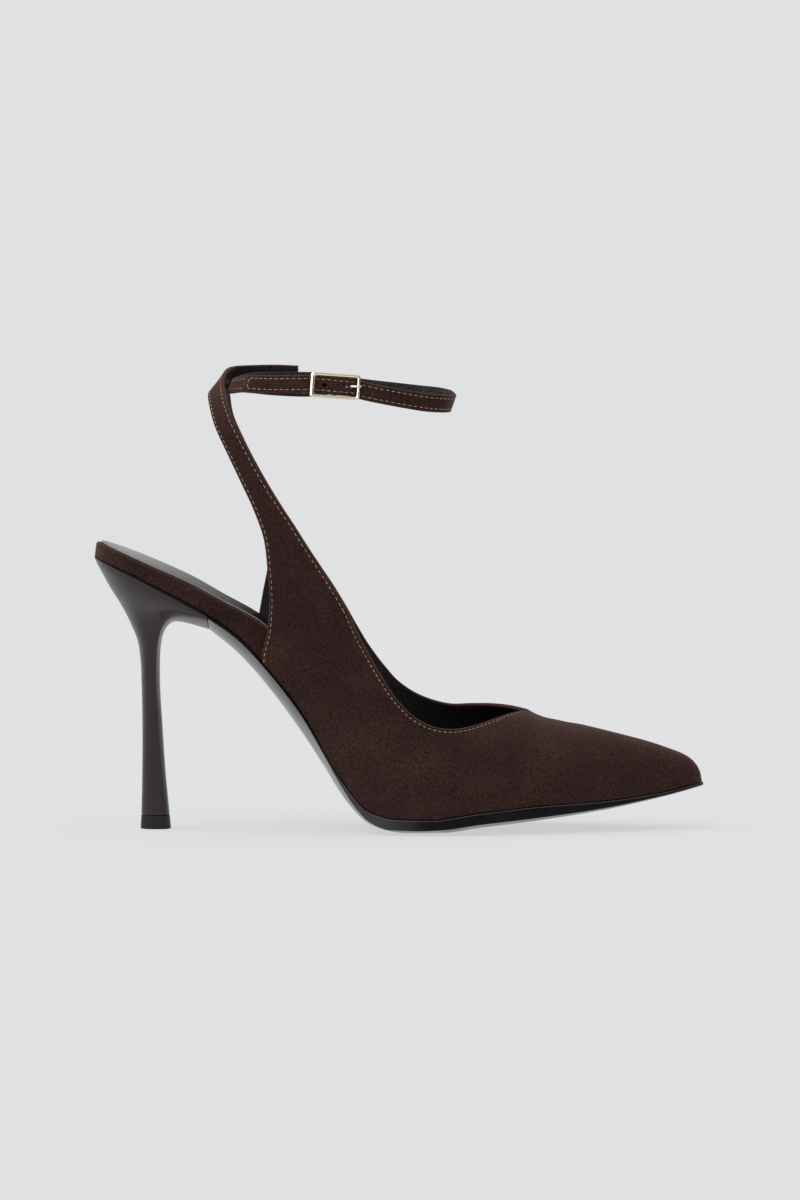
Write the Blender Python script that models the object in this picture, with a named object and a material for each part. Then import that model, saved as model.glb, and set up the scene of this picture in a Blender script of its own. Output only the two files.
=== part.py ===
"""Slingback pump with an ankle strap, right foot, standing empty on its heel and forefoot.

Sizes in this script are millimetres; they become metres when a mesh is made.
+X points to the toe, -Y to the outer side of the foot, +Z up, and the floor is z = 0.
"""
import math
from collections import namedtuple

import bmesh
import bpy
import numpy as np

MM = 0.001
OUTER, INNER = -1, 1  # signs of Y on the two sides of a right shoe

GAP = 0.3  # clearance between pieces that meet
WALL = 1.4  # suede and lining together
MID = GAP + WALL / 2  # from the insole's outline to the middle of the upper's wall
WELT = 0.5  # how far the sole's edge stands out of the upper
SOLE_GROW = GAP + WALL + WELT
RIM_GROW = 0.2  # the sole's edge under the bare rim at the back

HEEL_X, HEEL_ROUND_X = -112.0, -87.0  # back of the seat, and where its rounding starts
TOE_X, TOE_ROUND_X = 111.1, 97.0  # tip of the insole, and where its rounding starts
RIDGE_ROUND_X = 90.0  # where the toe's profile starts to drop
SOLE_JOIN = (-58.0, -46.0)  # where the sole's edge widens from the rim to the upper
TREAD_LEVEL = (-26.0, -8.0)  # where the waist's round underside turns into the level tread
THROAT_X = 47.4
TOE_LEAN = 9.0  # outward lean of the vamp's wall at the sole, degrees
TOE_BLUNT = 8  # how late the toe's profile drops
SEAT_END_X = -69.6  # joint between the heel's lip and the sole

HOLLOW = 0.5  # lean of the insole's rim from its foot to its shoulder
RIM_ROUND = 1.7
TOE_CLEAR = 1.0  # the insole stops short of the upper's toe
SOCK_INSET, SOCK_THICK, SOCK_NARROW = 2.6, 0.4, 16.0
SOCK_PAD_X, SOCK_PAD_LONG, SOCK_PAD_HIGH = -86.0, 20.0, 1.0  # the pad under the heel of the foot
RIM_BARE = (20.0, 50.0)  # how far behind the middle the rim starts and is fully bare
TOE_SHORT = (90.0, 108.0)  # where the insole draws in from the toe
INSOLE_LEAST = 0.3  # least thickness of the insole's edge

STRAP_WIDTH, STRAP_THICK, FOLD_THICK = 6.7, 1.4, 0.7
TAIL_OFFSET = STRAP_THICK + 0.4  # the strap's tail lies on its other end
LOOP_MID_X, LOOP_LONG, LOOP_DEEP, LOOP_EGG = -20.65, 40.75, 26.0, 0.15
LOOP_SQUARE, LOOP_ROUND = 0.3, 40.0  # the loop's blunt front and its round back
FRONT_LEAN, FRONT_LEAN_X = 15.0, (8.0, 19.0)  # degrees that the strap's top leans outward in front
BACK_LEAN, BACK_LEAN_X = 34.0, (44.0, 60.0)  # and inward behind, where it follows the slings
BUCKLE_X, TAIL_END_X = -23.1, -54.6
FRAME_LONG, FRAME_HIGH, FRAME_OFFSET = 18.4, 9.3, 3.0
FRAME_LIFT, FRAME_SLOPE = 0.85, -0.07  # the buckle's height over the strap's level, and its slope
BAR_RADIUS, PIN_RADIUS, PRONG_RADIUS = 0.5, 0.6, 0.45
PRONG_SLOPE = 0.05  # the prong's rise towards its tip
HOLE_AT, HOLE_LONG, HOLE_WIDE = 5.0, 2.8, 1.8
SLOT_LONG, SLOT_WIDE = 4.0, 1.8  # the fold's slot, through which the prong holds the pin
PIN_CLEAR = 0.2  # between the pin and the fold round it
TAIL_LIFT = (0.45, 1.3)  # angles past the front over which the tail rises onto the strap below
TAIL_ARCH, TAIL_ARCH_RUN = 0.85, (0.6, 6.5)  # the tail's arch over the pin
FOLD_ARCH, FOLD_RUN = 1.15, (1.5, 7.0)  # the strap's first run, stepped out to the fold
FOLD_POINTS, LOOP_POINTS = 8, 120

HEEL_CORNER, HEEL_WIDEST = 0.93, 0.42  # the breast's corners, and where the section is widest
TOP_PIECE_HIGH, TOP_PIECE_BEVEL = 5.0, 0.3

Bottom = namedtuple("Bottom", "x feather bed centre half")
Tread = namedtuple("Tread", "x edge tread")
Ridge = namedtuple("Ridge", "x height")
Wall = namedtuple("Wall", "low_x top_x top_y top_z foot_turn top_turn")
Sling = namedtuple("Sling", "low_x low_y low_z top_x top_y top_z")
Heel = namedtuple("Heel", "back_x back_z front_x front_z half bow_x bow_z")
Level = namedtuple("Level", "x z")
Run = namedtuple("Run", "plan thick shift tilt")

# The last's bottom from heel to toe: the line where upper and sole meet, the top of the insole,
# and the insole's middle line and half width.
BOTTOM = (
    Bottom(-112.0, 100.8, 107.1, 0.0, 24.2),
    Bottom(-100.0, 96.0, 102.2, 0.0, 24.6),
    Bottom(-88.0, 90.4, 97.0, -0.2, 24.8),
    Bottom(-76.0, 84.0, 91.6, -0.5, 24.0),
    Bottom(-64.0, 76.6, 85.0, -0.8, 22.2),
    Bottom(-56.0, 70.0, 80.8, -1.0, 20.9),
    Bottom(-50.0, 62.9, 77.0, -1.1, 19.9),
    Bottom(-36.0, 45.1, 60.0, -1.6, 17.9),
    Bottom(-21.0, 20.1, 30.5, -2.0, 21.8),
    Bottom(-10.0, 8.2, 14.6, -1.6, 27.4),
    Bottom(0.0, 5.8, 10.2, -1.0, 32.0),
    Bottom(12.0, 5.7, 9.3, -0.3, 34.6),
    Bottom(30.0, 8.1, 11.4, 0.3, 33.6),
    Bottom(52.0, 10.2, 13.4, 1.0, 27.2),
    Bottom(75.0, 11.3, 14.4, 1.5, 18.2),
    Bottom(97.0, 13.8, 16.8, 1.8, 9.2),
    Bottom(111.1, 16.7, 19.2, 2.0, 4.6),
)

# The sole's underside: its lower edge, and its middle, which is level where it stands on the floor.
TREAD = (
    Tread(-69.6, 79.2, 74.0),
    Tread(-60.0, 72.4, 66.2),
    Tread(-50.0, 62.2, 55.4),
    Tread(-36.0, 44.2, 36.8),
    Tread(-28.0, 30.6, 24.6),
    Tread(-21.0, 18.2, 13.6),
    Tread(-15.0, 9.3, 6.6),
    Tread(-10.0, 4.6, 2.9),
    Tread(-3.0, 2.1, 0.7),
    Tread(2.0, 2.0, 0.0),
    Tread(7.0, 1.9, 0.0),
    Tread(17.0, 2.3, 0.0),
    Tread(30.0, 4.1, 1.7),
    Tread(52.0, 6.2, 4.2),
    Tread(75.0, 8.8, 7.4),
    Tread(97.0, 12.6, 11.8),
    Tread(113.3, 16.4, 16.0),
)

# Height of the vamp's ridge over the sole, before the toe's rounding.
RIDGE = (
    Ridge(47.4, 33.6),
    Ridge(50.5, 31.6),
    Ridge(54.2, 29.9),
    Ridge(60.0, 28.4),
    Ridge(67.5, 26.7),
    Ridge(76.4, 24.1),
    Ridge(85.3, 21.0),
    Ridge(94.2, 17.4),
    Ridge(103.0, 12.9),
    Ridge(112.3, 7.7),
)

# Sections of the two quarters from the throat to the back corner: where each stands on the sole,
# its point on the topline, and how far it bends away from a straight line at its foot and top.
OUTER_WALL = (
    Wall(41.0, 41.5, -9.0, 43.0, 48, 40),
    Wall(34.0, 34.5, -17.0, 41.3, 40, 33),
    Wall(26.0, 27.0, -24.2, 39.5, 31, 26),
    Wall(17.0, 20.0, -28.6, 38.8, 24, 18),
    Wall(8.0, 13.0, -30.8, 40.0, 17, 12),
    Wall(0.0, 6.5, -31.8, 43.4, 12, 9),
    Wall(-8.0, 0.3, -32.2, 49.5, 9, 8),
    Wall(-16.0, -5.0, -32.2, 57.3, 7, 7),
    Wall(-25.0, -10.0, -32.0, 66.0, 6, 6),
    Wall(-37.0, -14.5, -31.6, 74.3, 5, 5),
    Wall(-50.0, -18.3, -31.2, 82.8, 4, 4),
)
INNER_WALL = (
    Wall(41.0, 41.5, 10.5, 44.6, 48, 40),
    Wall(34.0, 34.5, 18.5, 44.9, 42, 34),
    Wall(26.0, 27.0, 25.0, 44.6, 34, 27),
    Wall(17.0, 20.0, 28.3, 44.3, 26, 20),
    Wall(8.0, 13.0, 29.8, 45.8, 18, 13),
    Wall(0.0, 6.5, 30.4, 48.5, 13, 10),
    Wall(-8.0, 0.3, 30.6, 52.8, 10, 8),
    Wall(-16.0, -5.0, 30.6, 58.7, 8, 7),
    Wall(-25.0, -10.2, 30.6, 65.6, 7, 6),
    Wall(-38.0, -15.3, 30.6, 73.9, 6, 5),
    Wall(-54.0, -20.2, 30.6, 82.6, 5, 4),
)

# Sections of the two slings from the back corner upward: their back edge and their front edge.
# The outer sling passes round the back over the inner one and ends on the inner side.
OUTER_SLING = (
    Sling(-47.8, -24.6, 74.5, -21.8, -30.8, 89.0),
    Sling(-47.1, -26.2, 85.0, -26.2, -30.3, 96.0),
    Sling(-47.8, -27.4, 97.5, -32.8, -29.6, 106.0),
    Sling(-49.1, -27.8, 108.5, -38.4, -29.0, 114.8),
    Sling(-52.7, -27.6, 119.0, -44.4, -28.4, 123.8),
    Sling(-57.8, -26.6, 130.0, -50.6, -27.6, 134.0),
    Sling(-62.8, -23.6, 140.5, -56.0, -26.0, 144.3),
    Sling(-66.8, -18.0, 149.0, -60.6, -22.6, 153.4),
    Sling(-69.0, -10.0, 156.2, -63.2, -14.4, 161.0),
    Sling(-69.4, 0.0, 161.2, -63.9, -0.5, 167.6),
    Sling(-66.6, 8.5, 162.3, -62.6, 8.0, 170.0),
    Sling(-61.5, 16.0, 163.0, -60.0, 15.8, 170.8),
    Sling(-53.5, 21.5, 163.2, -53.0, 21.4, 171.0),
    Sling(-45.5, 25.0, 163.2, -45.2, 24.9, 171.0),
    Sling(-37.2, 27.2, 162.8, -37.0, 27.1, 170.6),
)
INNER_SLING = (
    Sling(-52.1, 23.2, 76.0, -24.1, 30.4, 89.0),
    Sling(-50.3, 25.6, 86.0, -28.8, 30.0, 96.0),
    Sling(-48.4, 27.0, 97.5, -35.4, 29.4, 106.0),
    Sling(-49.5, 27.6, 108.5, -41.0, 29.0, 114.8),
    Sling(-53.2, 27.6, 119.0, -46.6, 28.4, 123.8),
    Sling(-58.8, 26.4, 129.8, -52.3, 27.4, 133.8),
    Sling(-63.2, 23.2, 140.0, -57.4, 25.6, 143.8),
    Sling(-66.2, 17.4, 148.2, -61.2, 21.6, 152.6),
    Sling(-67.4, 9.4, 154.6, -62.3, 13.2, 159.8),
    Sling(-67.9, 0.0, 158.8, -62.65, 0.5, 165.9),
    Sling(-68.05, -2.5, 157.9, -62.7, -3.0, 164.6),
)

# Sections of the heel below its seat: back and front in the side view, half width, and how far the
# breast's corners lie behind and above its middle.
HEEL = (
    Heel(-111.4, 98.8, -69.9, 74.0, 24.7, 0.0, 4.6),
    Heel(-108.6, 93.6, -74.5, 75.4, 22.4, 0.8, 3.9),
    Heel(-105.8, 88.6, -79.4, 76.6, 19.0, 1.2, 2.8),
    Heel(-103.0, 84.2, -82.6, 76.8, 15.8, 1.3, 1.8),
    Heel(-100.3, 79.4, -85.0, 75.2, 12.8, 1.2, 1.2),
    Heel(-98.2, 74.8, -86.6, 72.4, 10.6, 1.1, 0.6),
    Heel(-96.3, 70.0, -87.5, 68.4, 8.9, 1.1, 0.2),
    Heel(-95.2, 63.0, -87.9, 62.2, 7.5, 1.2, 0.0),
    Heel(-94.8, 54.0, -87.9, 54.0, 6.5, 1.3, 0.0),
    Heel(-94.5, 38.0, -87.0, 38.0, 5.7, 1.4, 0.0),
    Heel(-94.6, 20.0, -85.8, 20.0, 5.3, 1.5, 0.0),
    Heel(-94.9, 5.3, -84.4, 5.3, 5.2, 1.7, 0.0),
)
TOP_PIECE = Heel(-95.2, 0.0, -83.9, 0.0, 5.3, 1.7, 0.0)

# Level of the ankle strap's middle along the shoe.
STRAP_LEVEL = (
    Level(-62.0, 163.8),
    Level(-55.0, 165.1),
    Level(-33.0, 164.9),
    Level(-13.0, 162.7),
    Level(3.0, 159.9),
    Level(11.0, 158.6),
    Level(21.0, 157.8),
)

# How far the strap lies above that level: its first run, under the buckle, its run on the inner
# side of the ankle, and its tail.
UNDER_SHIFT = (
    Level(-60.0, 0.0),
    Level(-54.0, 0.0),
    Level(-45.0, -0.5),
    Level(-35.0, -0.75),
    Level(-29.0, -0.4),
    Level(-24.5, 0.75),
    Level(-20.0, 0.75),
)
FAR_SHIFT = (
    Level(-60.0, 0.0),
    Level(-30.0, 0.0),
    Level(-13.0, -0.3),
    Level(1.0, 0.6),
    Level(13.0, 1.3),
    Level(18.5, 0.9),
    Level(20.1, 0.0),
)
TAIL_SHIFT = (
    Level(-60.0, 0.3),
    Level(-52.0, 0.3),
    Level(-36.0, 0.6),
    Level(-28.0, 0.8),
    Level(-23.0, 0.85),
    Level(-17.0, 1.1),
    Level(-13.1, 0.45),
    Level(-8.0, 0.1),
    Level(0.0, 0.0),
)


class Curve:
    """Smooth curve through one column of a table, which doesn't overshoot its rows."""

    def __init__(self, rows, column):
        self.x = np.array([row.x for row in rows], float)
        self.y = np.array([getattr(row, column) for row in rows], float)
        rise = np.diff(self.y) / np.diff(self.x)
        self.tangent = np.concatenate(([rise[0]], 0.5 * (rise[1:] + rise[:-1]), [rise[-1]]))
        for i in range(1, len(rise)):
            before, after = rise[i - 1], rise[i]
            level = before * after <= 0.0
            self.tangent[i] = 0.0 if level else 2.0 * before * after / (before + after)

    def __call__(self, x):
        if x <= self.x[0]:
            return self.y[0] + (x - self.x[0]) * self.tangent[0]
        if x >= self.x[-1]:
            return self.y[-1] + (x - self.x[-1]) * self.tangent[-1]
        i = int(np.searchsorted(self.x, x)) - 1
        span = self.x[i + 1] - self.x[i]
        s = (x - self.x[i]) / span
        a, b = self.y[i], self.y[i + 1]
        ta, tb = self.tangent[i] * span, self.tangent[i + 1] * span
        return a + s * (ta + s * (3 * (b - a) - 2 * ta - tb + s * (2 * (a - b) + ta + tb)))

    def slope(self, x):
        return (self(x + 0.05) - self(x - 0.05)) / 0.1


feather = Curve(BOTTOM, "feather")
bed = Curve(BOTTOM, "bed")
centre = Curve(BOTTOM, "centre")
half_table = Curve(BOTTOM, "half")
edge_line = Curve(TREAD, "edge")
tread_line = Curve(TREAD, "tread")
ridge_table = Curve(RIDGE, "height")
strap_level = Curve(STRAP_LEVEL, "z")
under_shift = Curve(UNDER_SHIFT, "z")
far_shift = Curve(FAR_SHIFT, "z")
tail_shift = Curve(TAIL_SHIFT, "z")


def ease(x, start, end):
    """0 before start, 1 after end, smooth between."""
    s = min(1.0, max(0.0, (x - start) / (end - start)))
    return s * s * (3.0 - 2.0 * s)


def half_width(x):
    """Half width of the insole, rounded at the heel and at the toe."""
    half = half_table(x)
    if x < HEEL_ROUND_X:
        u = (HEEL_ROUND_X - x) / (HEEL_ROUND_X - HEEL_X)
        half *= math.sqrt(max(0.0, 1.0 - u * u))
    if x > TOE_ROUND_X:
        u = (x - TOE_ROUND_X) / (TOE_X - TOE_ROUND_X)
        half *= math.sqrt(max(0.0, 1.0 - u**4))
    return half


def place_at(angle):
    """Place along the shoe for an angle from 0 at the heel to pi at the toe."""
    return HEEL_X + (TOE_X - HEEL_X) * (1.0 - math.cos(angle)) / 2.0


def angle_at(x):
    return math.acos(max(-1.0, min(1.0, 1.0 - 2.0 * (x - HEEL_X) / (TOE_X - HEEL_X))))


def stations(start, end, step):
    """Places between start and end, about a step apart along the edge of the insole."""
    fine = [place_at(a) for a in np.linspace(angle_at(start), angle_at(end), 600)]
    edge = np.array([(x, half_width(x), feather(x)) for x in fine])
    run = np.concatenate(([0.0], np.cumsum(np.linalg.norm(np.diff(edge, axis=0), axis=1))))
    count = math.ceil(run[-1] / step)
    return [float(x) for x in np.interp(np.linspace(0.0, run[-1], count + 1), run, fine)]


def outline(x, side, grow):
    """Point of the insole's outline in plan, moved outward by grow."""
    def at(angle):
        here = place_at(angle)
        return np.array((here, centre(here) + side * half_width(here)))
    angle = angle_at(x)
    before, after = max(0.0, angle - 1e-3), min(math.pi, angle + 1e-3)
    run = at(after) - at(before)
    normal = np.array((-run[1], run[0])) * side
    if angle < 1e-6:
        normal = np.array((-1.0, 0.0))
    if angle > math.pi - 1e-6:
        normal = np.array((1.0, 0.0))
    return at(angle) + grow * normal / np.linalg.norm(normal)


def inset(x, side, depth):
    """Point of the insole's outline in plan, moved inward by depth; both sides meet at the ends."""
    near = [min(math.pi, max(0.0, angle_at(x) + s)) for s in (-1e-3, 1e-3)]
    spots = [place_at(a) for a in near]
    run, fall = spots[1] - spots[0], half_width(spots[1]) - half_width(spots[0])
    here = x + depth * fall / math.hypot(run, fall)
    return np.array((here, centre(here) + side * half_width(x) * (1.0 - depth / half_table(x))))


def lift(curve, x, gap):
    """Height of a line that keeps a gap above a curve, measured square to it."""
    return curve(x) + gap * math.sqrt(1.0 + curve.slope(x) ** 2)


def feather_point(x, side, grow):
    """Point just above the sole's top, outside the insole's outline by grow."""
    px, py = outline(x, side, grow)
    return np.array((px, py, lift(feather, px, GAP)))


def new_object(name, verts, faces, colour, roughness, metallic=0.0):
    """Closed mesh object with its own material; vertices are given in millimetres."""
    mesh = bpy.data.meshes.new(name)
    mesh.from_pydata([tuple(float(c) * MM for c in v) for v in verts], [], faces)
    work = bmesh.new()
    work.from_mesh(mesh)
    bmesh.ops.remove_doubles(work, verts=work.verts, dist=1e-7)
    bmesh.ops.dissolve_degenerate(work, edges=work.edges, dist=1e-7)
    bmesh.ops.triangulate(work, faces=work.faces)
    bmesh.ops.recalc_face_normals(work, faces=work.faces)
    work.to_mesh(mesh)
    work.free()
    obj = bpy.data.objects.new(name, mesh)
    bpy.context.scene.collection.objects.link(obj)
    material = bpy.data.materials.new(name)
    material.use_nodes = True
    shader = material.node_tree.nodes["Principled BSDF"]
    shader.inputs["Base Color"].default_value = (*colour, 1.0)
    shader.inputs["Roughness"].default_value = roughness
    shader.inputs["Metallic"].default_value = metallic
    mesh.materials.append(material)
    return obj


def loft(rings, start="strip", end="strip"):
    """Vertices and faces of a skin over closed rings; ends are closed across the ring in strips."""
    size = len(rings[0])
    verts = [point for ring in rings for point in ring]
    faces = []
    for r in range(len(rings) - 1):
        for i in range(size):
            j = (i + 1) % size
            faces.append((r * size + i, r * size + j, (r + 1) * size + j, (r + 1) * size + i))
    for ring, kind in ((0, start), (len(rings) - 1, end)):
        if kind == "strip":
            base = ring * size
            for i in range(size // 2):
                loop = (i, i + 1, (size - i - 1) % size, (size - i) % size)
                faces.append(tuple(dict.fromkeys(base + k for k in loop)))
    return verts, faces


def flow(rows, steps):
    """Rows of control points carried smoothly along, with the given steps between neighbours."""
    rows = np.array(rows, float)
    middles = rows.reshape(len(rows), -1, rows.shape[-1]).mean(axis=1)
    knots = np.concatenate(([0.0], np.cumsum(np.linalg.norm(np.diff(middles, axis=0), axis=1))))
    tangents = np.gradient(rows, knots, axis=0)
    result = []
    for i, count in enumerate(steps):
        span = knots[i + 1] - knots[i]
        for k in range(count):
            s = k / count
            a, b, ta, tb = rows[i], rows[i + 1], tangents[i] * span, tangents[i + 1] * span
            cubic = 3 * (b - a) - 2 * ta - tb + s * (2 * (a - b) + ta + tb)
            result.append(a + s * (ta + s * cubic))
    result.append(rows[-1])
    return np.array(result)


def arched(low, top, side, foot_turn, top_turn):
    """Control points of a section that bends outward by the two angles from a straight line."""
    chord = top - low
    length = np.linalg.norm(chord)
    along = chord / length
    out = np.array((0.0, float(side), 0.0))
    out -= along * (out @ along)
    out /= np.linalg.norm(out)
    foot, head = math.radians(foot_turn), math.radians(top_turn)
    turn = max(1e-3, foot + head)
    reach = length * (4.0 / 3.0) * math.tan(turn / 4.0) / (2.0 * math.sin(turn / 2.0))
    first = low + reach * (math.cos(foot) * along + math.sin(foot) * out)
    second = top - reach * (math.cos(head) * along - math.sin(head) * out)
    return np.array((low, first, second, top))


def vamp_section(x, side):
    """Section of the vamp on one side, from the sole to the ridge."""
    low = feather_point(x, side, MID)
    other = feather_point(x, -side, MID)
    ridge_x = 0.5 * (low[0] + other[0])
    u = max(0.0, (ridge_x - RIDGE_ROUND_X) / (TOE_X + MID - RIDGE_ROUND_X))
    height = ridge_table(ridge_x) * math.sqrt(max(0.0, 1.0 - u**TOE_BLUNT))
    top = np.array((ridge_x, centre(x), feather(ridge_x) + GAP + height))
    rise = math.atan2(top[2] - low[2], abs(top[1] - low[1]))
    foot_turn = 90.0 + TOE_LEAN - math.degrees(rise)
    return arched(low, top, side, foot_turn, math.degrees(rise))


def bezier(control, steps):
    """Points of a section at even steps of its parameter."""
    points = []
    for k in range(steps + 1):
        s = k / steps
        weights = ((1 - s) ** 3, 3 * s * (1 - s) ** 2, 3 * s * s * (1 - s), s**3)
        points.append(sum(w * c for w, c in zip(weights, control)))
    return points


def quarter_sections(side, wall_rows, sling_rows, step):
    """Sections of one quarter and its sling, and the station on the sole of those that stand on it."""
    rows, feet = [vamp_section(THROAT_X, side)], [THROAT_X]
    for row in wall_rows:
        top = np.array((row.top_x, row.top_y, row.top_z))
        low = feather_point(row.low_x, side, MID)
        rows.append(arched(low, top, side, row.foot_turn, row.top_turn))
        feet.append(row.low_x)
    for row in sling_rows:
        low = np.array((row.low_x, row.low_y, row.low_z))
        top = np.array((row.top_x, row.top_y, row.top_z))
        rows.append(arched(low, top, side, 0.0, 0.0))
    moves = np.linalg.norm(np.diff(np.array(rows), axis=0), axis=2).max(axis=1)
    steps = [max(1, math.ceil(move / step)) for move in moves]
    sections = flow(rows, steps)
    places = flow([[[foot]] for foot in feet], steps[: len(wall_rows)])[:, 0, 0]
    for k, place in enumerate(places):
        move = feather_point(place, side, MID) - sections[k][0]
        sections[k][0] += move
        sections[k][1] += move
    return sections, list(places)


def shell(verts, faces, thickness, pinned):
    """Solid wall round a surface; pinned gives the outer and inner places of some vertices."""
    verts = np.array(verts, float)
    normals = np.zeros_like(verts)
    uses = {}
    for face in faces:
        corners = verts[list(face)]
        area = np.zeros(3)
        for k in range(len(face)):
            area += np.cross(corners[k], corners[(k + 1) % len(face)])
            edge = (face[k], face[(k + 1) % len(face)])
            uses[edge] = uses.get(edge, 0) + 1
        normals[list(face)] += area
    normals /= np.linalg.norm(normals, axis=1)[:, None]
    outer, inner = verts + normals * thickness / 2, verts - normals * thickness / 2
    for index, (out, within) in pinned.items():
        outer[index], inner[index] = out, within
    count = len(verts)
    solid = [tuple(face) for face in faces]
    solid += [tuple(count + i for i in reversed(face)) for face in faces]
    for a, b in uses:
        if (b, a) not in uses:
            solid.append((b, a, count + a, count + b))
    return np.concatenate((outer, inner)), solid


def build_upper(step=5.0, rib_steps=7):
    """Vamp, quarters and slings as one hollow piece, open at the throat, behind and underneath."""
    verts, faces, pinned = [], [], {}

    def add(point, foot=None, side=0):
        verts.append(point)
        if foot is not None:
            pinned[len(verts) - 1] = (
                feather_point(foot, side, GAP + WALL),
                feather_point(foot, side, GAP),
            )
        return len(verts) - 1

    tip = add(feather_point(TOE_X, OUTER, MID), TOE_X, OUTER)
    grid = []
    for x in stations(THROAT_X, TOE_X, step)[:-1]:
        outer = bezier(vamp_section(x, OUTER), rib_steps)
        inner = bezier(vamp_section(x, INNER), rib_steps)
        row = [add(outer[0], x, OUTER)] + [add(p) for p in outer[1:]]
        row += [add(p) for p in reversed(inner[1:-1])] + [add(inner[0], x, INNER)]
        grid.append(row)
    for a, b in zip(grid, grid[1:]):
        for j in range(2 * rib_steps):
            faces.append((a[j], b[j], b[j + 1], a[j + 1]))
    for j in range(2 * rib_steps):
        faces.append((grid[-1][j], tip, grid[-1][j + 1]))
    sides = ((OUTER, OUTER_WALL, OUTER_SLING), (INNER, INNER_WALL, INNER_SLING))
    for side, wall_rows, sling_rows in sides:
        sections, feet = quarter_sections(side, wall_rows, sling_rows, step)
        last = grid[0][: rib_steps + 1] if side == OUTER else grid[0][: rib_steps - 1 : -1]
        for k in range(1, len(sections)):
            points = bezier(sections[k], rib_steps)
            foot = feet[k] if k < len(feet) else None
            row = [add(points[0], foot, side)] + [add(p) for p in points[1:]]
            for j in range(rib_steps):
                quad = (row[j], last[j], last[j + 1], row[j + 1])
                faces.append(quad if side == OUTER else quad[::-1])
            last = row
    solid_verts, solid_faces = shell(verts, faces, WALL, pinned)
    return new_object("upper", solid_verts, solid_faces, (0.032, 0.019, 0.015), 0.95)


def build_insole(step=5.0):
    """Board wrapped in suede; its rim shows round the open seat."""
    rings = []
    for x in stations(HEEL_X, TOE_X, step):
        ring = []
        shoulder = RIM_ROUND * (1.0 - math.sqrt(0.5))
        levels = ((0.0, None), (HOLLOW, RIM_ROUND), (HOLLOW + shoulder, shoulder), (HOLLOW + RIM_ROUND, 0.0))
        for side in (OUTER, INNER):
            line = []
            for depth, below in levels:
                bare = 0.2 + 0.8 * ease(-x, *RIM_BARE)
                px, py = inset(x, side, depth * bare + TOE_CLEAR * ease(x, *TOE_SHORT))
                low = lift(feather, px, GAP)
                high = bed(px)
                level = low if below is None else max(low + INSOLE_LEAST, high - below)
                line.append((px, py, level))
            ring += line if side == OUTER else line[::-1]
        rings.append(ring)
    verts, faces = loft(rings, "none", "none")
    return new_object("insole", verts, faces, (0.032, 0.019, 0.015), 0.9)


def build_sock(step=5.0, across=4):
    """Sock on the insole, padded under the heel of the foot."""
    rings = []
    for x in stations(HEEL_X, TOE_X, step):
        ends = [inset(x, side, SOCK_INSET) for side in (OUTER, INNER)]
        upper_line, lower_line = [], []
        for k in range(across + 1):
            s = k / across
            px, py = ends[0] * (1 - s) + ends[1] * s
            steep = math.sqrt(1.0 + bed.slope(px) ** 2)
            dome = (1.0 - (2 * s - 1) ** 2) * math.exp(-(((px - SOCK_PAD_X) / SOCK_PAD_LONG) ** 2))
            wide = min(1.0, (ends[1][1] - ends[0][1]) / SOCK_NARROW)
            thick = SOCK_THICK + SOCK_PAD_HIGH * dome * wide
            lower_line.append((px, py, bed(px) + GAP * steep))
            upper_line.append((px, py, bed(px) + (GAP + thick) * steep))
        rings.append(lower_line + upper_line[::-1])
    verts, faces = loft(rings, "none", "none")
    return new_object("sock", verts, faces, (0.008, 0.008, 0.009), 0.35)


def build_outsole(step=4.2):
    """Thin sole from the heel's lip to the toe: level tread, raised toe, convex waist."""
    shares = (-1.0, -0.84, -0.67, -0.5, 0.0, 0.5, 0.67, 0.84, 1.0)
    tops = (0.5, 0.0, -0.5)
    rings = []
    for x in stations(SEAT_END_X, TOE_X, step):
        grow = RIM_GROW + (SOLE_GROW - RIM_GROW) * ease(x, *SOLE_JOIN)
        left, right = outline(x, OUTER, grow), outline(x, INNER, grow)
        if not rings:
            left[0] = right[0] = SEAT_END_X
        level = 0.5 * ease(x, *TREAD_LEVEL)
        ring = []

        def place(share, bottom):
            px, py = (left * (1 - share) + right * (1 + share)) / 2
            if not bottom:
                return (px, py, feather(px))
            rise = max(0.0, (abs(share) - level) / (1.0 - level)) ** 2
            return (px, py, tread_line(px) + rise * (edge_line(px) - tread_line(px)))

        ring += [place(share, True) for share in shares]
        ring += [place(1.0, False)] + [place(share, False) for share in tops] + [place(-1.0, False)]
        rings.append(ring)
    verts, faces = loft(rings, "none", "none")
    bottom, top = list(range(len(shares))), list(range(len(shares), len(rings[0])))[::-1]
    faces += [tuple(bottom[:4] + top[1::-1]), tuple([3, 4, 5] + [top[3], top[2], top[1]])]
    faces += [tuple(bottom[5:] + [top[4], top[3]])]
    return new_object("outsole", verts, faces, (0.012, 0.011, 0.011), 0.55)


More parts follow.
